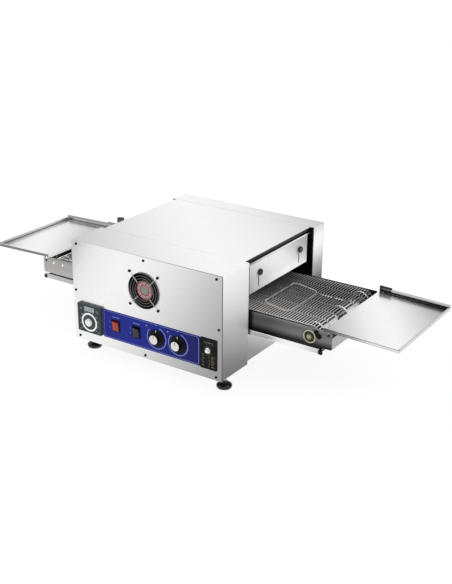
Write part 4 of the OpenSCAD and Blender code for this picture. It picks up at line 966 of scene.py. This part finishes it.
def add_belt_wheels(node, name, body, x):
    """Three toothed wheels that carry the belt, drums beside two of them, and a hub at each wheel."""
    bm = bmesh.new()
    root, tip, width = WRAP_R + 0.3, BELT[1].z - SHAFT.z - 0.3, 6
    outline = [(x + a, SHAFT.z + b)
               for a, b in toothed(2 * STRANDS_WRAP, root, tip, 5.9, 5.2, math.pi / 2)]
    for y in TRACKS:
        prism(bm, outline, "y", y - width / 2, y + width / 2)
    soften(bm, 0.35, 1, 30)
    drum_r, drum_len = WRAP_R - 0.7, 86
    for y in TRACKS[:2]:
        start = y + width / 2 + 0.01
        lathe(bm, (x, 0, SHAFT.z), "y",
              [(drum_r - 1, start), (drum_r, start + 1), (drum_r, y + drum_len - 1.5),
               (drum_r - 1.5, y + drum_len), (drum_r - 3, y + drum_len), (drum_r - 3, y + drum_len - 2),
               (9, y + drum_len - 2), (9, y + drum_len + 4), (6.2, y + drum_len + 4)], 64, 2)
    for y in TRACKS:
        lathe(bm, (x, 0, SHAFT.z), "y", [(6.2, y - 12), (10.4, y - 12), (11, y - 11.4),
                                         (11, y + 11.4), (10.4, y + 12), (6.2, y + 12)], 40, 1)
    piece(name, bm, body, ["wheel", "inner", "drum"], [node], smooth=30)


def add_shafts():
    """The bar that carries each roller."""
    for node, name, body in (("drive_shaft", "drive_shaft_bar", "drive_roller"),
                             ("idler_shaft", "idler_shaft_bar", "idler_roller")):
        low, high = span(node)
        bm = bmesh.new()
        bar(bm, "y", ((low.x + high.x) / 2, 0, SHAFT.z), (high.x - low.x) / 2, low.y, high.y,
            segments=40, edge=0.8)
        paint(bm, 1, lambda c, n: abs(n.y) > 0.5)
        piece(name, bm, body, ["rod", "shaft_end"], [node])


def add_bearings():
    """Flanged bearings on the drive end, sliding blocks on the idler end."""
    bm = bmesh.new()
    for face, out in ((PLATE[0].y, -1), (REAR_PLATE[1].y, 1)):
        def ring(profile, index):
            lathe(bm, (SHAFT.x, face, SHAFT.z), "y", [(r, out * h) for r, h in profile], 64, index)
        ring([(25, 0), (25, 2.2), (24.2, 3.0), (20.2, 3.0), (20.2, 0)], 4)
        ring([(20.1, 0), (20.1, 4.2), (19.4, 4.9), (17.6, 4.9), (16.9, 4.3), (16.9, 0)], 0)
        ring([(16.8, 0.2), (16.8, 3.2), (15.8, 3.8), (9.6, 5.0), (8.6, 4.6), (8.6, 0.2)], 1)
        ring([(8.5, 0.2), (8.5, 7.2), (7.9, 7.9), (6.6, 7.9), (6.1, 7.4), (6.1, 0.2)], 5)
        for k in range(4):
            angle = math.pi / 4 + k * math.pi / 2
            spot = (SHAFT.x + 13.2 * math.cos(angle), face + out * 4.2,
                    SHAFT.z + 13.2 * math.sin(angle))
            screw_head(bm, spot, "y", out, 2.1, 1.4, 2)
    block_w, block_h, block_t = 56, 34, 6.5
    for y0 in (PLATE[1].y, REAR_PLATE[0].y - block_t):
        hole = arc((-SHAFT.x, SHAFT.z), 6.1, 90, 450, 32)
        outline = round_box((-SHAFT.x - block_w / 2, SHAFT.z - block_h / 2),
                            (-SHAFT.x + block_w / 2, SHAFT.z + block_h / 2), 3)
        ring_prism(bm, outline, hole[:-1], "y", y0, y0 + block_t, 1)
    for x in (-SHAFT.x - 25, -SHAFT.x + 15):
        screw_head(bm, (x, PLATE[0].y, SHAFT.z + 11), "y", -1, 4, 2, 3)
        screw_head(bm, (x, REAR_PLATE[1].y, SHAFT.z + 11), "y", 1, 4, 2, 3)
    piece("shaft_bearing_set", bm, ROOT,
          ["cream", "bronze", "black_steel", "wheel", "plate", "collar"], ["shaft_bearings"],
          smooth=30)


def ring_prism(bm, outline, hole, axis, low, high, index=0):
    """An extruded outline with a hole through it."""
    u, v, w = AXES[axis]
    walls = []
    for shape in (outline, hole):
        walls.append(loft(bm, [[u * a + v * b + w * c for a, b in shape] for c in (low, high)],
                          index, caps=False))
    for level in (0, 1):
        edges = []
        for wall in walls:
            ring = wall[level]
            edges += [bm.edges.get((ring[k - 1], ring[k])) for k in range(len(ring))]
        fill(bm, edges, index)


def add_support_loops():
    """The closed rod loop outside each mouth, sloping from one tie down to the next."""
    low, high = span("belt_support_rods")
    r, bend = 2.3, 20
    bm = bmesh.new()
    inner_x, outer_x = 266, 354
    top, bottom = high.z - r, low.z + r
    length = math.hypot(outer_x - inner_x, top - bottom)
    flat = round_box((0, low.y + r), (length, high.y - r), bend, 8)
    slope = (outer_x - inner_x) / length
    for side in (1, -1):
        path = [(side * (inner_x + d * slope), y,
                 top - (top - bottom) * d * slope / (outer_x - inner_x)) for d, y in flat]
        tube(bm, path, r, 14, closed=True)
    piece("support_loops", bm, ROOT, ["loop"], ["belt_support_rods"])


def add_chain():
    """Roller chain on the motor and shaft sprockets, link by link."""
    teeth, pitch = 12, 6.35
    low, high = span("drive_chain")
    radius = pitch / (2 * math.sin(math.pi / teeth))
    motor_x = joint_at("motor_output_spin").x
    run = SHAFT.x - motor_x
    total = 2 * (run + math.pi * radius)
    links = 2 * round(total / pitch / 2)
    y0, y1 = low.y, high.y

    def place(s):
        s %= total
        half = run + math.pi * radius
        flip, origin = (1, motor_x) if s < half else (-1, SHAFT.x)
        s -= 0 if s < half else half
        if s < run:
            x, z = s, radius
        else:
            turn = (s - run) / radius
            x, z = run + radius * math.sin(turn), radius * math.cos(turn)
        return Vector((origin + flip * x, 0, SHAFT.z + flip * z))

    bm = bmesh.new()
    for link in range(links):
        a, b = place(link * total / links), place((link + 1) * total / links)
        along = b - a
        turn = math.degrees(math.atan2(along.z, along.x))
        outline = (arc((b.x, b.z), 2.6, turn - 90, turn + 90, 6)
                   + arc((a.x, a.z), 2.6, turn + 90, turn + 270, 6))
        inner = 0.75 * (link % 2)
        for y in (y0 + inner, y1 - 0.7 - inner):
            prism(bm, outline, "y", y, y + 0.7)
        lathe(bm, (a.x, 0, a.z), "y", [(0.9, y0), (0.9, y1)], 10)
    soften(bm, 0.12, 1, 50)
    piece("roller_chain", bm, ROOT, ["oiled"], ["drive_chain"], smooth=30)


def add_frame():
    """Side plates, rails, ties, chain wheels and the gear motor."""
    bm = from_node("front_side_plate")
    soften(bm, 0.4, index=1)
    # The plate is cut at x = 0 so that its left half takes a lighter painted grey.
    bmesh.ops.bisect_plane(bm, geom=bm.verts[:] + bm.edges[:] + bm.faces[:],
                           plane_co=(0, 0, 0), plane_no=(1, 0, 0))
    paint(bm, 2, lambda c, n: c.x < 0)
    piece("front_plate", bm, ROOT, ["plate", "plate", "left_plate"],
          ["front_side_plate"])
    softened("rear_side_plate", "rear_plate", ["rear_plate", "fold"], 0.4)
    softened("support_rails", "rail_angles", ["rail", "fold"], 0.25)
    softened("frame_cross_ties", "cross_tie_bars", ["tie"], 0.3)
    softened("motor_sprocket", "motor_chain_wheel", ["oiled"], 0.15, 1, "motor_output", 50)
    softened("driven_sprocket", "shaft_chain_wheel", ["oiled"], 0.15, 1, "drive_roller", 50)
    softened("gear_motor", "gear_motor_body", ["motor"], 1.5, 3)
    softened("motor_bracket", "motor_mount", ["rail", "fold"], 0.4)


# ---- trays ----

TRAY_FALL = 7
TRAY_LIP = 10
TRAY_REAR_LIP = 17
TRAY_TAB = (42, 20)


def tray_mesh():
    """The right-hand landing tray, drawn level from its inner edge, then sloped."""
    low, high = span("right_tray")
    length, y0, y1 = high.x - low.x - 0.3, low.y, high.y
    t, bend = SHEET, 1.4
    tab, tab_top = TRAY_TAB
    end = length - t - 0.1
    bm = bmesh.new()
    pan = [(y0 + 4, TRAY_LIP), (y0, TRAY_LIP), (y0, -t), (y1, -t)]
    prism(bm, folded(pan + [(y1, tab_top)], t, bend), "x", 0, tab)
    prism(bm, folded(pan + [(y1, TRAY_REAR_LIP), (y1 - 9, TRAY_REAR_LIP - 4.5)], t, bend),
          "x", tab + 0.02, end)
    lip = [(end, -t), (length, -t), (length, TRAY_LIP), (length - 4, TRAY_LIP)]
    prism(bm, folded(lip, t, bend / 2 + 0.5), "y", y0, y1 - t - 0.1)
    curl = [(0.2, -t * 0.5), (-2.2, -t), (-3.4, -3.2), (-2.2, -5.4)]
    prism(bm, folded(curl, 1.0, 0.9, 3), "y", y0 + 10, y1 - 10)
    soften(bm, 0.3, index=1)
    # Faces picked by the way they look take lit and shaded greys of the tray's steel: painted shade.
    paint(bm, 3, lambda c, n: n.y < -0.9 and c.y < y0 + 0.3)
    paint(bm, 4, lambda c, n: n.y < -0.9 and c.y > y1 - t - 1 and c.z > 0)
    paint(bm, 5, lambda c, n: n.z > 0.6 and c.y > y1 - 9.5 and c.z > TRAY_REAR_LIP - 6)
    paint(bm, 5, lambda c, n: n.z > 0.7 and c.x > length - 5 and c.z > TRAY_LIP - 2)
    paint(bm, 6, lambda c, n: n.x > 0.9 and c.x > length - 0.4)
    paint(bm, 6, lambda c, n: n.x < -0.9 and c.x > end - 0.4 and c.z > 0)
    slope = math.asin(TRAY_FALL / length)
    surface_z = BELT[1].z - 2
    start = PLATE[1].x - 26
    bmesh.ops.transform(bm, matrix=Matrix.Translation((start, 0, surface_z))
                        @ Matrix.Rotation(slope, 4, "Y"), verts=bm.verts)
    rod_x, rod_z, slot_r, saddle = PLATE[1].x - 12, 206, 4.4, 8
    foot = rod_z - 12
    for y in (-100, 170):
        notch = [(rod_x - saddle, foot), (rod_x - slot_r, foot)]
        notch += arc((rod_x, rod_z), slot_r, 180, 0, 10)
        notch += [(rod_x + slot_r, foot), (rod_x + saddle, foot),
                  (rod_x + saddle, surface_z - t - 0.6), (rod_x - saddle, surface_z - t - 0.4)]
        prism(bm, notch, "y", y, y + 3)
    return bm


def crumb_mesh():
    """The right-hand crumb tray: a pan with hemmed sides and a pull at its outer end."""
    low, high = span("right_crumb_tray")
    grip = 10
    x0, x1, y0, y1, z0, z1 = low.x, high.x - grip, low.y, high.y, low.z, high.z
    end_z = z0 + 8
    t = 1.0
    bm = bmesh.new()
    section = [(y0 + 3.6, z1), (y0, z1), (y0, z0), (y1, z0), (y1, z1), (y1 - 3.6, z1)]
    prism(bm, folded(section, t, 1.3), "x", x0 + t + 0.05, x1 - t - 0.05)
    for x, out in ((x0, -1), (x1, 1)):
        lo, hi = sorted((x, x - out * t))
        slab(bm, (lo, y0 + 0.3, z0 + 0.2), (hi, y1 - 0.3, end_z))
    pull = [(x1 - t, end_z - t), (x1 + grip - 2, end_z - t), (x1 + grip - 2, end_z - t - 4)]
    prism(bm, folded(pull, t, 1.6), "y", y0 + 120, y1 - 120)
    soften(bm, 0.25, index=1)
    return bm


def add_trays():
    """Landing trays and crumb trays, the left ones mirrored."""
    for side in ("right", "left"):
        bm = tray_mesh()
        if side == "left":
            mirror_x(bm)
        piece(side + "_landing_tray", bm, side + "_tray",
              [side + "_tray", "fold", "inner", side + "_lip", side + "_back", side + "_hem",
               side + "_edge"],
              [side + "_tray"])
        bm = crumb_mesh()
        if side == "left":
            right, left = span("right_crumb_tray"), span("left_crumb_tray")
            mirror_x(bm, left[0].x + right[1].x)
        piece(side + "_crumb_pan", bm, side + "_crumb_tray",
              ["crumb", "fold"], [side + "_crumb_tray"])


# ---- fan ----

FAN_CORNER = 52.5 * math.sqrt(2)


def add_fan():
    """Fan housing, impeller and finger guard."""
    axis = joint_at("fan_spin")
    low, high = span("fan_frame")
    bm = bmesh.new()
    half = (high.x - low.x) / 2
    duct = 57
    outline = round_box((-half, axis.z - half), (half, axis.z + half), 6)
    hole = arc((0, axis.z), duct, 0, 360, 64)[:-1]
    ring_prism(bm, outline, hole, "y", low.y, low.y + 4)
    ring_prism(bm, outline, hole, "y", high.y - 4, high.y)
    ring_prism(bm, arc((0, axis.z), duct + 2.2, 0, 360, 64)[:-1], hole, "y",
               low.y + 4.01, high.y - 4.01)
    lathe(bm, (0, 0, axis.z), "y", [(29, high.y - 5), (30, high.y - 4), (30, high.y - 1),
                                    (29, high.y)], 48)
    for k in range(4):
        turn = Matrix.Rotation(math.pi / 4 + k * math.pi / 2, 3, "Y")
        strut = [turn @ Vector((r, 0, w)) for r, w in ((28, -2.5), (57.6, -2.5), (57.6, 2.5), (28, 2.5))]
        loft(bm, [[p + Vector((0, y, axis.z)) for p in strut] for y in (high.y - 4.6, high.y - 0.4)])
        corner = turn @ Vector((FAN_CORNER, 0, 0))
        bar(bm, "y", (corner.x, 0, corner.z + axis.z), 4, low.y + 4, high.y - 4, segments=20)
    piece("fan_housing", bm, ROOT, ["black"], ["fan_frame"])

    low, high = span("fan_rotor")
    bm = bmesh.new()
    front = low.y
    hub = 31
    lathe(bm, (0, 0, axis.z), "y",
          [(0, front + 0.6), (24, front + 0.6), (27.5, front + 0.2), (hub - 1.5, front),
           (hub, front + 1.5), (hub, high.y - 6), (hub - 1, high.y - 5), (3, high.y - 5),
           (3, high.y)], 64)
    stations, chord_steps = 6, 8
    for blade in range(7):
        turn = Matrix.Rotation(2 * math.pi * blade / 7, 3, "Y")
        rings = []
        for s in range(stations + 1):
            r = hub - 1 + (55 - hub + 1) * s / stations
            pitch = math.radians(52 - 22 * s / stations)
            chord = 11.5 + 3.2 * s / stations
            sweep = 0.16 * (s / stations) ** 2
            loop = []
            for face in (1, -1):
                for c in range(chord_steps + 1):
                    if face == -1 and c in (0, chord_steps):
                        continue
                    u = face * (-1 + 2 * c / chord_steps)
                    along = u * chord
                    off = face * math.sqrt(max(0.0, 1 - u * u)) + 1.3 * (1 - u * u)
                    tang = along * math.cos(pitch) - off * math.sin(pitch)
                    axial = along * math.sin(pitch) + off * math.cos(pitch)
                    angle = sweep + tang / r
                    depth = max(-11.5, min(11.5, axial))
                    spot = Vector((r * math.cos(angle), depth, r * math.sin(angle)))
                    loop.append(turn @ spot + Vector((0, (low.y + high.y - 6) / 2, axis.z)))
            rings.append(loop)
        loft(bm, rings)
    label(bm, axis.z, front)
    piece("fan_impeller", bm, "fan_rotor", ["black", "rose", "sage", "pink"], ["fan_rotor"])

    bm = bmesh.new()
    low, high = span("fan_guard")
    wire_y = FRONT_Y - 3.2
    for r in (31, 39.5, 48, 56.5):
        tube(bm, [(a, wire_y, b) for a, b in arc((0, axis.z), r, 0, 360, 96)[:-1]], 0.85, 10, closed=True)
    for k in range(4):
        turn = Matrix.Rotation(math.pi / 4 + k * math.pi / 2, 3, "Y")
        leg = [Vector((r, y, 0)) for r, y in ((30, 1.6), (50, 1.6), (62, 1.7), (66, 1.9), (74, 2.0))]
        tube(bm, [turn @ p + Vector((0, wire_y, axis.z)) for p in leg], 1.2, 10, index=2)
        centre = turn @ Vector((FAN_CORNER, 0, 0))
        at = (centre.x, FRONT_Y, centre.z + axis.z)
        lathe(bm, at, "y", [(5, 0), (5, -0.9), (4.6, -1.3), (2, -1.3)], 28, 0)
        screw_head(bm, (at[0], FRONT_Y - 2.2, at[2]), "y", -1, 3.9, 2.4, 1)
        lathe(bm, at, "y", [(1.9, -2.2), (1.9, 0)], 16, 1)
    piece("fan_finger_guard", bm, ROOT, ["guard", "black_steel", "bright"], ["fan_guard"])


def label(bm, z, front):
    """A generic ring pattern on the fan's hub."""
    rings = ((30, 27.4, 1, 36, 0.8), (26.8, 23.6, 3, 20, 0.7), (22.9, 18.8, 3, 9, 0.86),
             (18.2, 15.2, 1, 12, 0.8), (14.8, 13.0, 3, 18, 0.6))
    for outer, inner, index, parts, fill in rings:
        for k in range(parts):
            start = 360 * k / parts
            end = start + 360 / parts * fill
            shape = arc((0, z), outer, start, end, 4) + arc((0, z), inner, end, start, 4)
            prism(bm, shape, "y", front - 0.25, front + 0.9, index)
    lathe(bm, (0, 0, z), "y", [(12.6, front + 0.8), (12.6, front - 0.1), (11.8, front - 0.3),
                               (0, front - 0.3)], 40, 2)


# ---- controls ----

def print_bar(bm, x, z, w, h, index=0, y=None, rise=0.18):
    """A small printed bar on the front."""
    face = FRONT_Y - 0.6 if y is None else y
    slab(bm, (x - w / 2, face - rise, z - h / 2), (x + w / 2, face - 0.01, z + h / 2), index)


def print_arc(bm, at, r_in, r_out, start, end, index=0, face=0.0, rise=0.18):
    """A printed arc or ring on the front."""
    steps = max(6, int(abs(end - start) / 8))
    shape = arc(at, r_out, start, end, steps) + arc(at, r_in, end, start, steps)
    prism(bm, shape, "y", face - rise, face - 0.01, index)


def add_controls():
    """Overlay, controller, switches and cut-out, with their prints and knobs."""
    softened("control_overlay", "overlay_film", ["blue"], 0.2, 1)
    softened("speed_controller", "speed_controller_case", ["slate", "slate_side"], 0.8, 3)
    softened("switch_housings", "switch_bezels", ["black"], 0.5, 2)
    softened("cutout_plate", "cutout_cover", ["black"], 0.5, 2)
    softened("power_rocker", "power_rocker_cap", ["red"], 0.7, 3, "power_rocker")
    softened("selector_rocker", "selector_rocker_cap", ["gloss_black"], 0.7, 3, "selector_rocker")
    add_print()
    add_knobs()


def add_print():
    """Borders, scales and small generic marks, a fraction of a millimetre proud."""
    face = FRONT_Y - 0.6
    low, high = span("control_overlay")
    bm = bmesh.new()
    border = 3.6
    outer = round_box((low.x + border, low.z + border), (high.x - border, high.z - border), 6)
    inner = round_box((low.x + border + 0.9, low.z + border + 0.9),
                      (high.x - border - 1.3, high.z - border - 0.8), 5.2)
    ring_prism(bm, outer, inner, "y", face - 0.18, face - 0.01)
    for name in ("upper_heat_knob_turn", "lower_heat_knob_turn"):
        at = joint_at(name)
        print_arc(bm, (at.x, at.z), 34.4, 36.4, 138, 432, 0, face)
        for k in range(11):
            angle = math.radians(142 + 28.6 * k)
            a, b = math.cos(angle), math.sin(angle)
            mark = [(at.x + a * r - b * w, at.z + b * r + a * w)
                    for r, w in ((32.4, -0.4), (34.5, -0.4), (34.5, 0.4), (32.4, 0.4))]
            prism(bm, mark, "y", face - 0.18, face - 0.01, 0)
        lathe(bm, (at.x - 38, face, at.z + 32), "y", [(2.4, -0.01), (2.4, -0.3), (0, -0.4)], 24, 0)
        print_bar(bm, at.x - 2, at.z + 42.5, 5, 1.8, 0)
    for name in ("power_rocker_tilt", "selector_rocker_tilt"):
        at = joint_at(name)
        for k in range(4):
            print_bar(bm, at.x - 10.5 + 7 * k, at.z + 28, 4.6, 2.4, 0)
        for dz in (-8, 8):
            print_bar(bm, at.x - 24, at.z + dz, 2.6, 2.6, 0)
    piece("overlay_print", bm, ROOT, ["blue_print", "white"])

    low, high = span("speed_controller")
    face = low.y
    dial = joint_at("speed_dial_turn")
    bm = bmesh.new()
    at = (dial.x, dial.z)
    print_arc(bm, at, 25.2, 31, 0, 359.9, 0, face, 0.3)
    print_arc(bm, at, 16.6, 21.5, 0, 359.9, 2, face, 0.2)
    for k in range(11):
        angle = math.radians(-40 + 26 * k)
        a, b = math.cos(angle), math.sin(angle)
        mark = [(at[0] + a * r - b * w, at[1] + b * r + a * w)
                for r, w in ((34, -0.6), (37.5, -0.6), (37.5, 0.6), (34, 0.6))]
        prism(bm, mark, "y", face - 0.2, face - 0.01, 0)
    for side in (-1, 1):
        print_bar(bm, dial.x + side * 33, high.z - 14, 9, 2.2, 1, face)
        print_bar(bm, dial.x + side * 33, high.z - 19, 6, 2.2, 1, face)
        print_bar(bm, dial.x + side * 36, low.z + 8, 7, 2.2, 1, face)
    piece("controller_print", bm, ROOT, ["white", "mark", "slate_side"])

    bm = bmesh.new()
    screen_z, screen_y = 161.4, face + 1.5
    prism(bm, round_box((dial.x - 19.6, screen_z - 7.4), (dial.x + 19.6, screen_z + 7.4), 1), "y",
          screen_y - 0.7, screen_y + 0.05)
    for digit in range(3):
        seven_segments(bm, dial.x - 10 + 10 * digit, screen_z, screen_y - 0.7)
    piece("controller_display", bm, ROOT, ["lcd", "slate"])

    low, high = span("cutout_plate")
    face = low.y + 1.6
    reset = span("reset_button")
    x, z = (reset[0].x + reset[1].x) / 2, (reset[0].z + reset[1].z) / 2
    bm = bmesh.new()
    middle = (low.x + high.x) / 2
    for k in range(7):
        print_bar(bm, middle - 20 + 1.5 * (k % 3), z - 14 - 6 * k, 7, 1.5, k % 2, face)
        print_bar(bm, middle + 16 - 2 * (k % 2), z - 17 - 5.5 * k, 12 - 2 * (k % 3), 1.3, 0, face)
    for k in range(3):
        print_bar(bm, middle - 6 + 10 * k, z + 21 + 3 * (k % 2), 7, 1.4, 1 - k % 2, face)
        print_bar(bm, middle + 2 + k, z - 20 - 11 * k, 1.4, 6, 0, face)
    print_bar(bm, middle, high.z - 13, 34, 1.2, 0, face)
    print_arc(bm, (x, z), 12, 13, 20, 340, 0, face)
    for sz in (low.z + 6.5, high.z - 6.5):
        screw_head(bm, ((low.x + high.x) / 2, face, sz), "y", -1, 3.3, 1.6, 2)
    lathe(bm, (x, face, z), "y", [(8.5, 0), (8.5, -1.1), (7.9, -1.6), (5.3, -1.6), (5.3, 0)], 40, 2)
    piece("cutout_print", bm, ROOT, ["tan", "green", "bright"])


def seven_segments(bm, x, z, face):
    """One generic digit of the display, a nought."""
    w, h, t = 2.4, 4.2, 0.9
    across, upright = (w, t / 2), (t / 2, h / 2 - 0.4)
    bars = [(0, dz, across) for dz in (h, -h)]
    bars += [(dx, dz, upright) for dx in (w, -w) for dz in (h / 2, -h / 2)]
    for dx, dz, (half_x, half_z) in bars:
        slab(bm, (x + dx - half_x, face - 0.12, z + dz - half_z),
             (x + dx + half_x, face + 0.01, z + dz + half_z), 1)


def add_knobs():
    """Both heat knobs, the speed dial and the reset pin."""
    for name in ("upper_heat_knob", "lower_heat_knob"):
        low, high = span(name)
        at = joint_at(name + "_turn")
        tip = low.y
        skirt = FRONT_Y - 1.0
        bm = bmesh.new()
        centre = (at.x, 0, at.z)
        lathe(bm, centre, "y", [(27.4, skirt), (28.2, skirt - 0.8), (28.2, skirt - 1.6),
                                (27, skirt - 3.0), (22, skirt - 3.5), (18.6, skirt - 3.5),
                                (17.2, skirt - 4.4), (16.5, skirt - 5.4, 1.0),
                                (16.5, tip + 2.2, 1.0), (15.6, tip + 0.9, 0.5), (14.9, tip + 0.6)],
              96, 0, flutes=24)
        lathe(bm, centre, "y", [(14.7, tip + 1.2), (14.7, tip + 0.5), (14.2, tip + 0.05), (11, tip),
                                (10, tip + 0.35), (0, tip + 0.35)], 64, 1)
        prism(bm, [(at.x - 0.8, at.z + 15.2), (at.x + 0.8, at.z + 15.2), (at.x + 0.8, at.z + 27),
                   (at.x - 0.8, at.z + 27)], "y", skirt - 3.7, skirt - 2.4, 2)
        prism(bm, [(at.x - 0.9, at.z + 3), (at.x + 0.9, at.z + 3), (at.x + 0.9, at.z + 13),
                   (at.x - 0.9, at.z + 13)], "y", tip - 0.0, tip + 0.5, 0)
        lathe(bm, centre, "y", [(3, skirt - 0.5), (3, high.y)], 24, 2)
        piece(name + "_body", bm, name, ["black", "ivory", "rod"], [name])

    low, high = span("speed_dial")
    at = joint_at("speed_dial_turn")
    tip = low.y
    bm = bmesh.new()
    base = span("speed_controller")[0].y - 0.3
    lathe(bm, (at.x, 0, at.z), "y",
          [(12.4, base), (13, base - 0.6, 0.7), (12.6, tip + 1.6, 0.7), (11.6, tip + 0.6, 0.3),
           (10.4, tip + 0.3)], 96, 0, flutes=30)
    lathe(bm, (at.x, 0, at.z), "y", [(10.3, tip + 1.0), (10.3, tip + 0.4), (9.6, tip), (0, tip)], 48, 1)
    prism(bm, [(at.x - 0.7, at.z + 4), (at.x + 0.7, at.z + 4), (at.x + 0.7, at.z + 9.4),
               (at.x - 0.7, at.z + 9.4)], "y", tip - 0.02, tip + 0.5, 2)
    lathe(bm, (at.x, 0, at.z), "y", [(3, base - 1), (3, high.y)], 24, 1)
    piece("speed_dial_knob", bm, "speed_dial", ["ivory", "silver", "slate"], ["speed_dial"])

    low, high = span("reset_button")
    x, z, r = (low.x + high.x) / 2, (low.z + high.z) / 2, (high.x - low.x) / 2
    bm = bmesh.new()
    lathe(bm, (x, 0, z), "y", [(0, low.y + 0.6), (2.6, low.y + 0.3), (4.2, low.y), (r, low.y + 1),
                               (r, high.y)], 40)
    piece("reset_pin", bm, "reset_button", ["white"], ["reset_button"])


# ---- feet and inlet ----

def hexagon(centre, radius):
    """Corners of a hexagon."""
    return [(centre[0] + radius * math.cos(math.pi / 3 * k),
             centre[1] + radius * math.sin(math.pi / 3 * k)) for k in range(6)]


def add_feet():
    """Levelling feet: a domed pad, a threaded stem and a nut."""
    for node in ("front_left_foot", "front_right_foot", "rear_left_foot", "rear_right_foot"):
        low, high = span(node)
        x, y = (low.x + high.x) / 2, (low.y + high.y) / 2
        r = (high.x - low.x) / 2
        bm = bmesh.new()
        dome = [(rr, -14 + math.sqrt(34 ** 2 - rr ** 2)) for rr in (23.6, 22, 19, 15.5, 12, 9.5)]
        pad = [(0, 0), (r - 3, 0), (r - 2.2, 0.5), (r - 1.4, 2.4), (r - 0.4, 3.4), (r, 5), (r, 9.3)]
        neck = [(8.6, 20.2), (8.2, 23.4), (7.4, 24), (4.8, 24)]
        lathe(bm, (x, y, 0), "z", pad + dome + neck, 64, 0)
        lathe(bm, (x, y, 0), "z", thread(5, 23, high.z, 1.5), 28, 1)
        prism(bm, hexagon((x, y), 10.2), "z", BOTTOM_Z - 6.3, BOTTOM_Z - 0.3, 1)
        piece(node + "_leveller", bm, node, ["gloss_black", "bright"], [node])


def add_gland():
    """The cable gland at the power inlet."""
    low, high = span("cable_gland")
    x, z = (low.x + high.x) / 2, (low.z + high.z) / 2
    bm = bmesh.new()
    hole = arc((x, z), 5.0, 0, 360, 32)[:-1]
    ring_prism(bm, hexagon((x, z), 13), hole, "y", BACK_Y, BACK_Y + 6)
    soften(bm, 0.5, 2, 50)
    lathe(bm, (x, 0, z), "y", [(5.0, BACK_Y + 6.05), (10.8, BACK_Y + 6.05), (11, BACK_Y + 6.5, 0.8),
                               (10.8, BACK_Y + 12, 0.8), (9.4, BACK_Y + 15.6, 0.3), (7.6, high.y - 0.4),
                               (5.6, high.y), (5.0, high.y - 0.6)], 72, flutes=24, caps=False)
    lathe(bm, (x, 0, z), "y", [(5.0, high.y - 0.6), (5.0, BACK_Y + 6.05)], 72, caps=False)
    lathe(bm, (x, 0, z), "y", [(5.0, low.y), (12.4, low.y), (13, low.y + 0.6), (13, BACK_Y - SHEET - 0.6),
                               (12.4, BACK_Y - SHEET), (5.0, BACK_Y - SHEET)], 48, caps=False)
    lathe(bm, (x, 0, z), "y", [(5.0, low.y), (5.0, BACK_Y - SHEET)], 48, caps=False)
    lathe(bm, (x, 0, z), "y", [(8, BACK_Y - SHEET), (8, BACK_Y)], 48, caps=False)
    bmesh.ops.remove_doubles(bm, verts=bm.verts, dist=0.003)
    piece("inlet_gland", bm, ROOT, ["black"], ["cable_gland"])


# ---- inside ----

def finish_inside():
    """CAD nodes whose shape is right keep it and take a material."""
    for node, key in (("upper_heaters", "sheath"), ("lower_heaters", "sheath"),
                      ("chamber_ceiling", "inner"), ("insulation_blanket", "fibre"),
                      ("heat_regulators", "phenolic"), ("terminal_block", "ceramic")):
        mesh = NODES[node].data
        mesh.materials.clear()
        mesh.materials.append(M[key])
        mesh.polygons.foreach_set("use_smooth", [True] * len(mesh.polygons))
        mesh.set_sharp_from_angle(angle=math.radians(35))


add_camera()
add_studio()
add_floor()
add_casing()
add_doors()
add_belt()
add_belt_wheels("drive_sprockets", "drive_wheels", "drive_roller", SHAFT.x)
add_belt_wheels("idler_sprockets", "idler_wheels", "idler_roller", -SHAFT.x)
add_shafts()
add_bearings()
add_support_loops()
add_chain()
add_frame()
add_trays()
add_fan()
add_controls()
add_feet()
add_gland()
finish_inside()
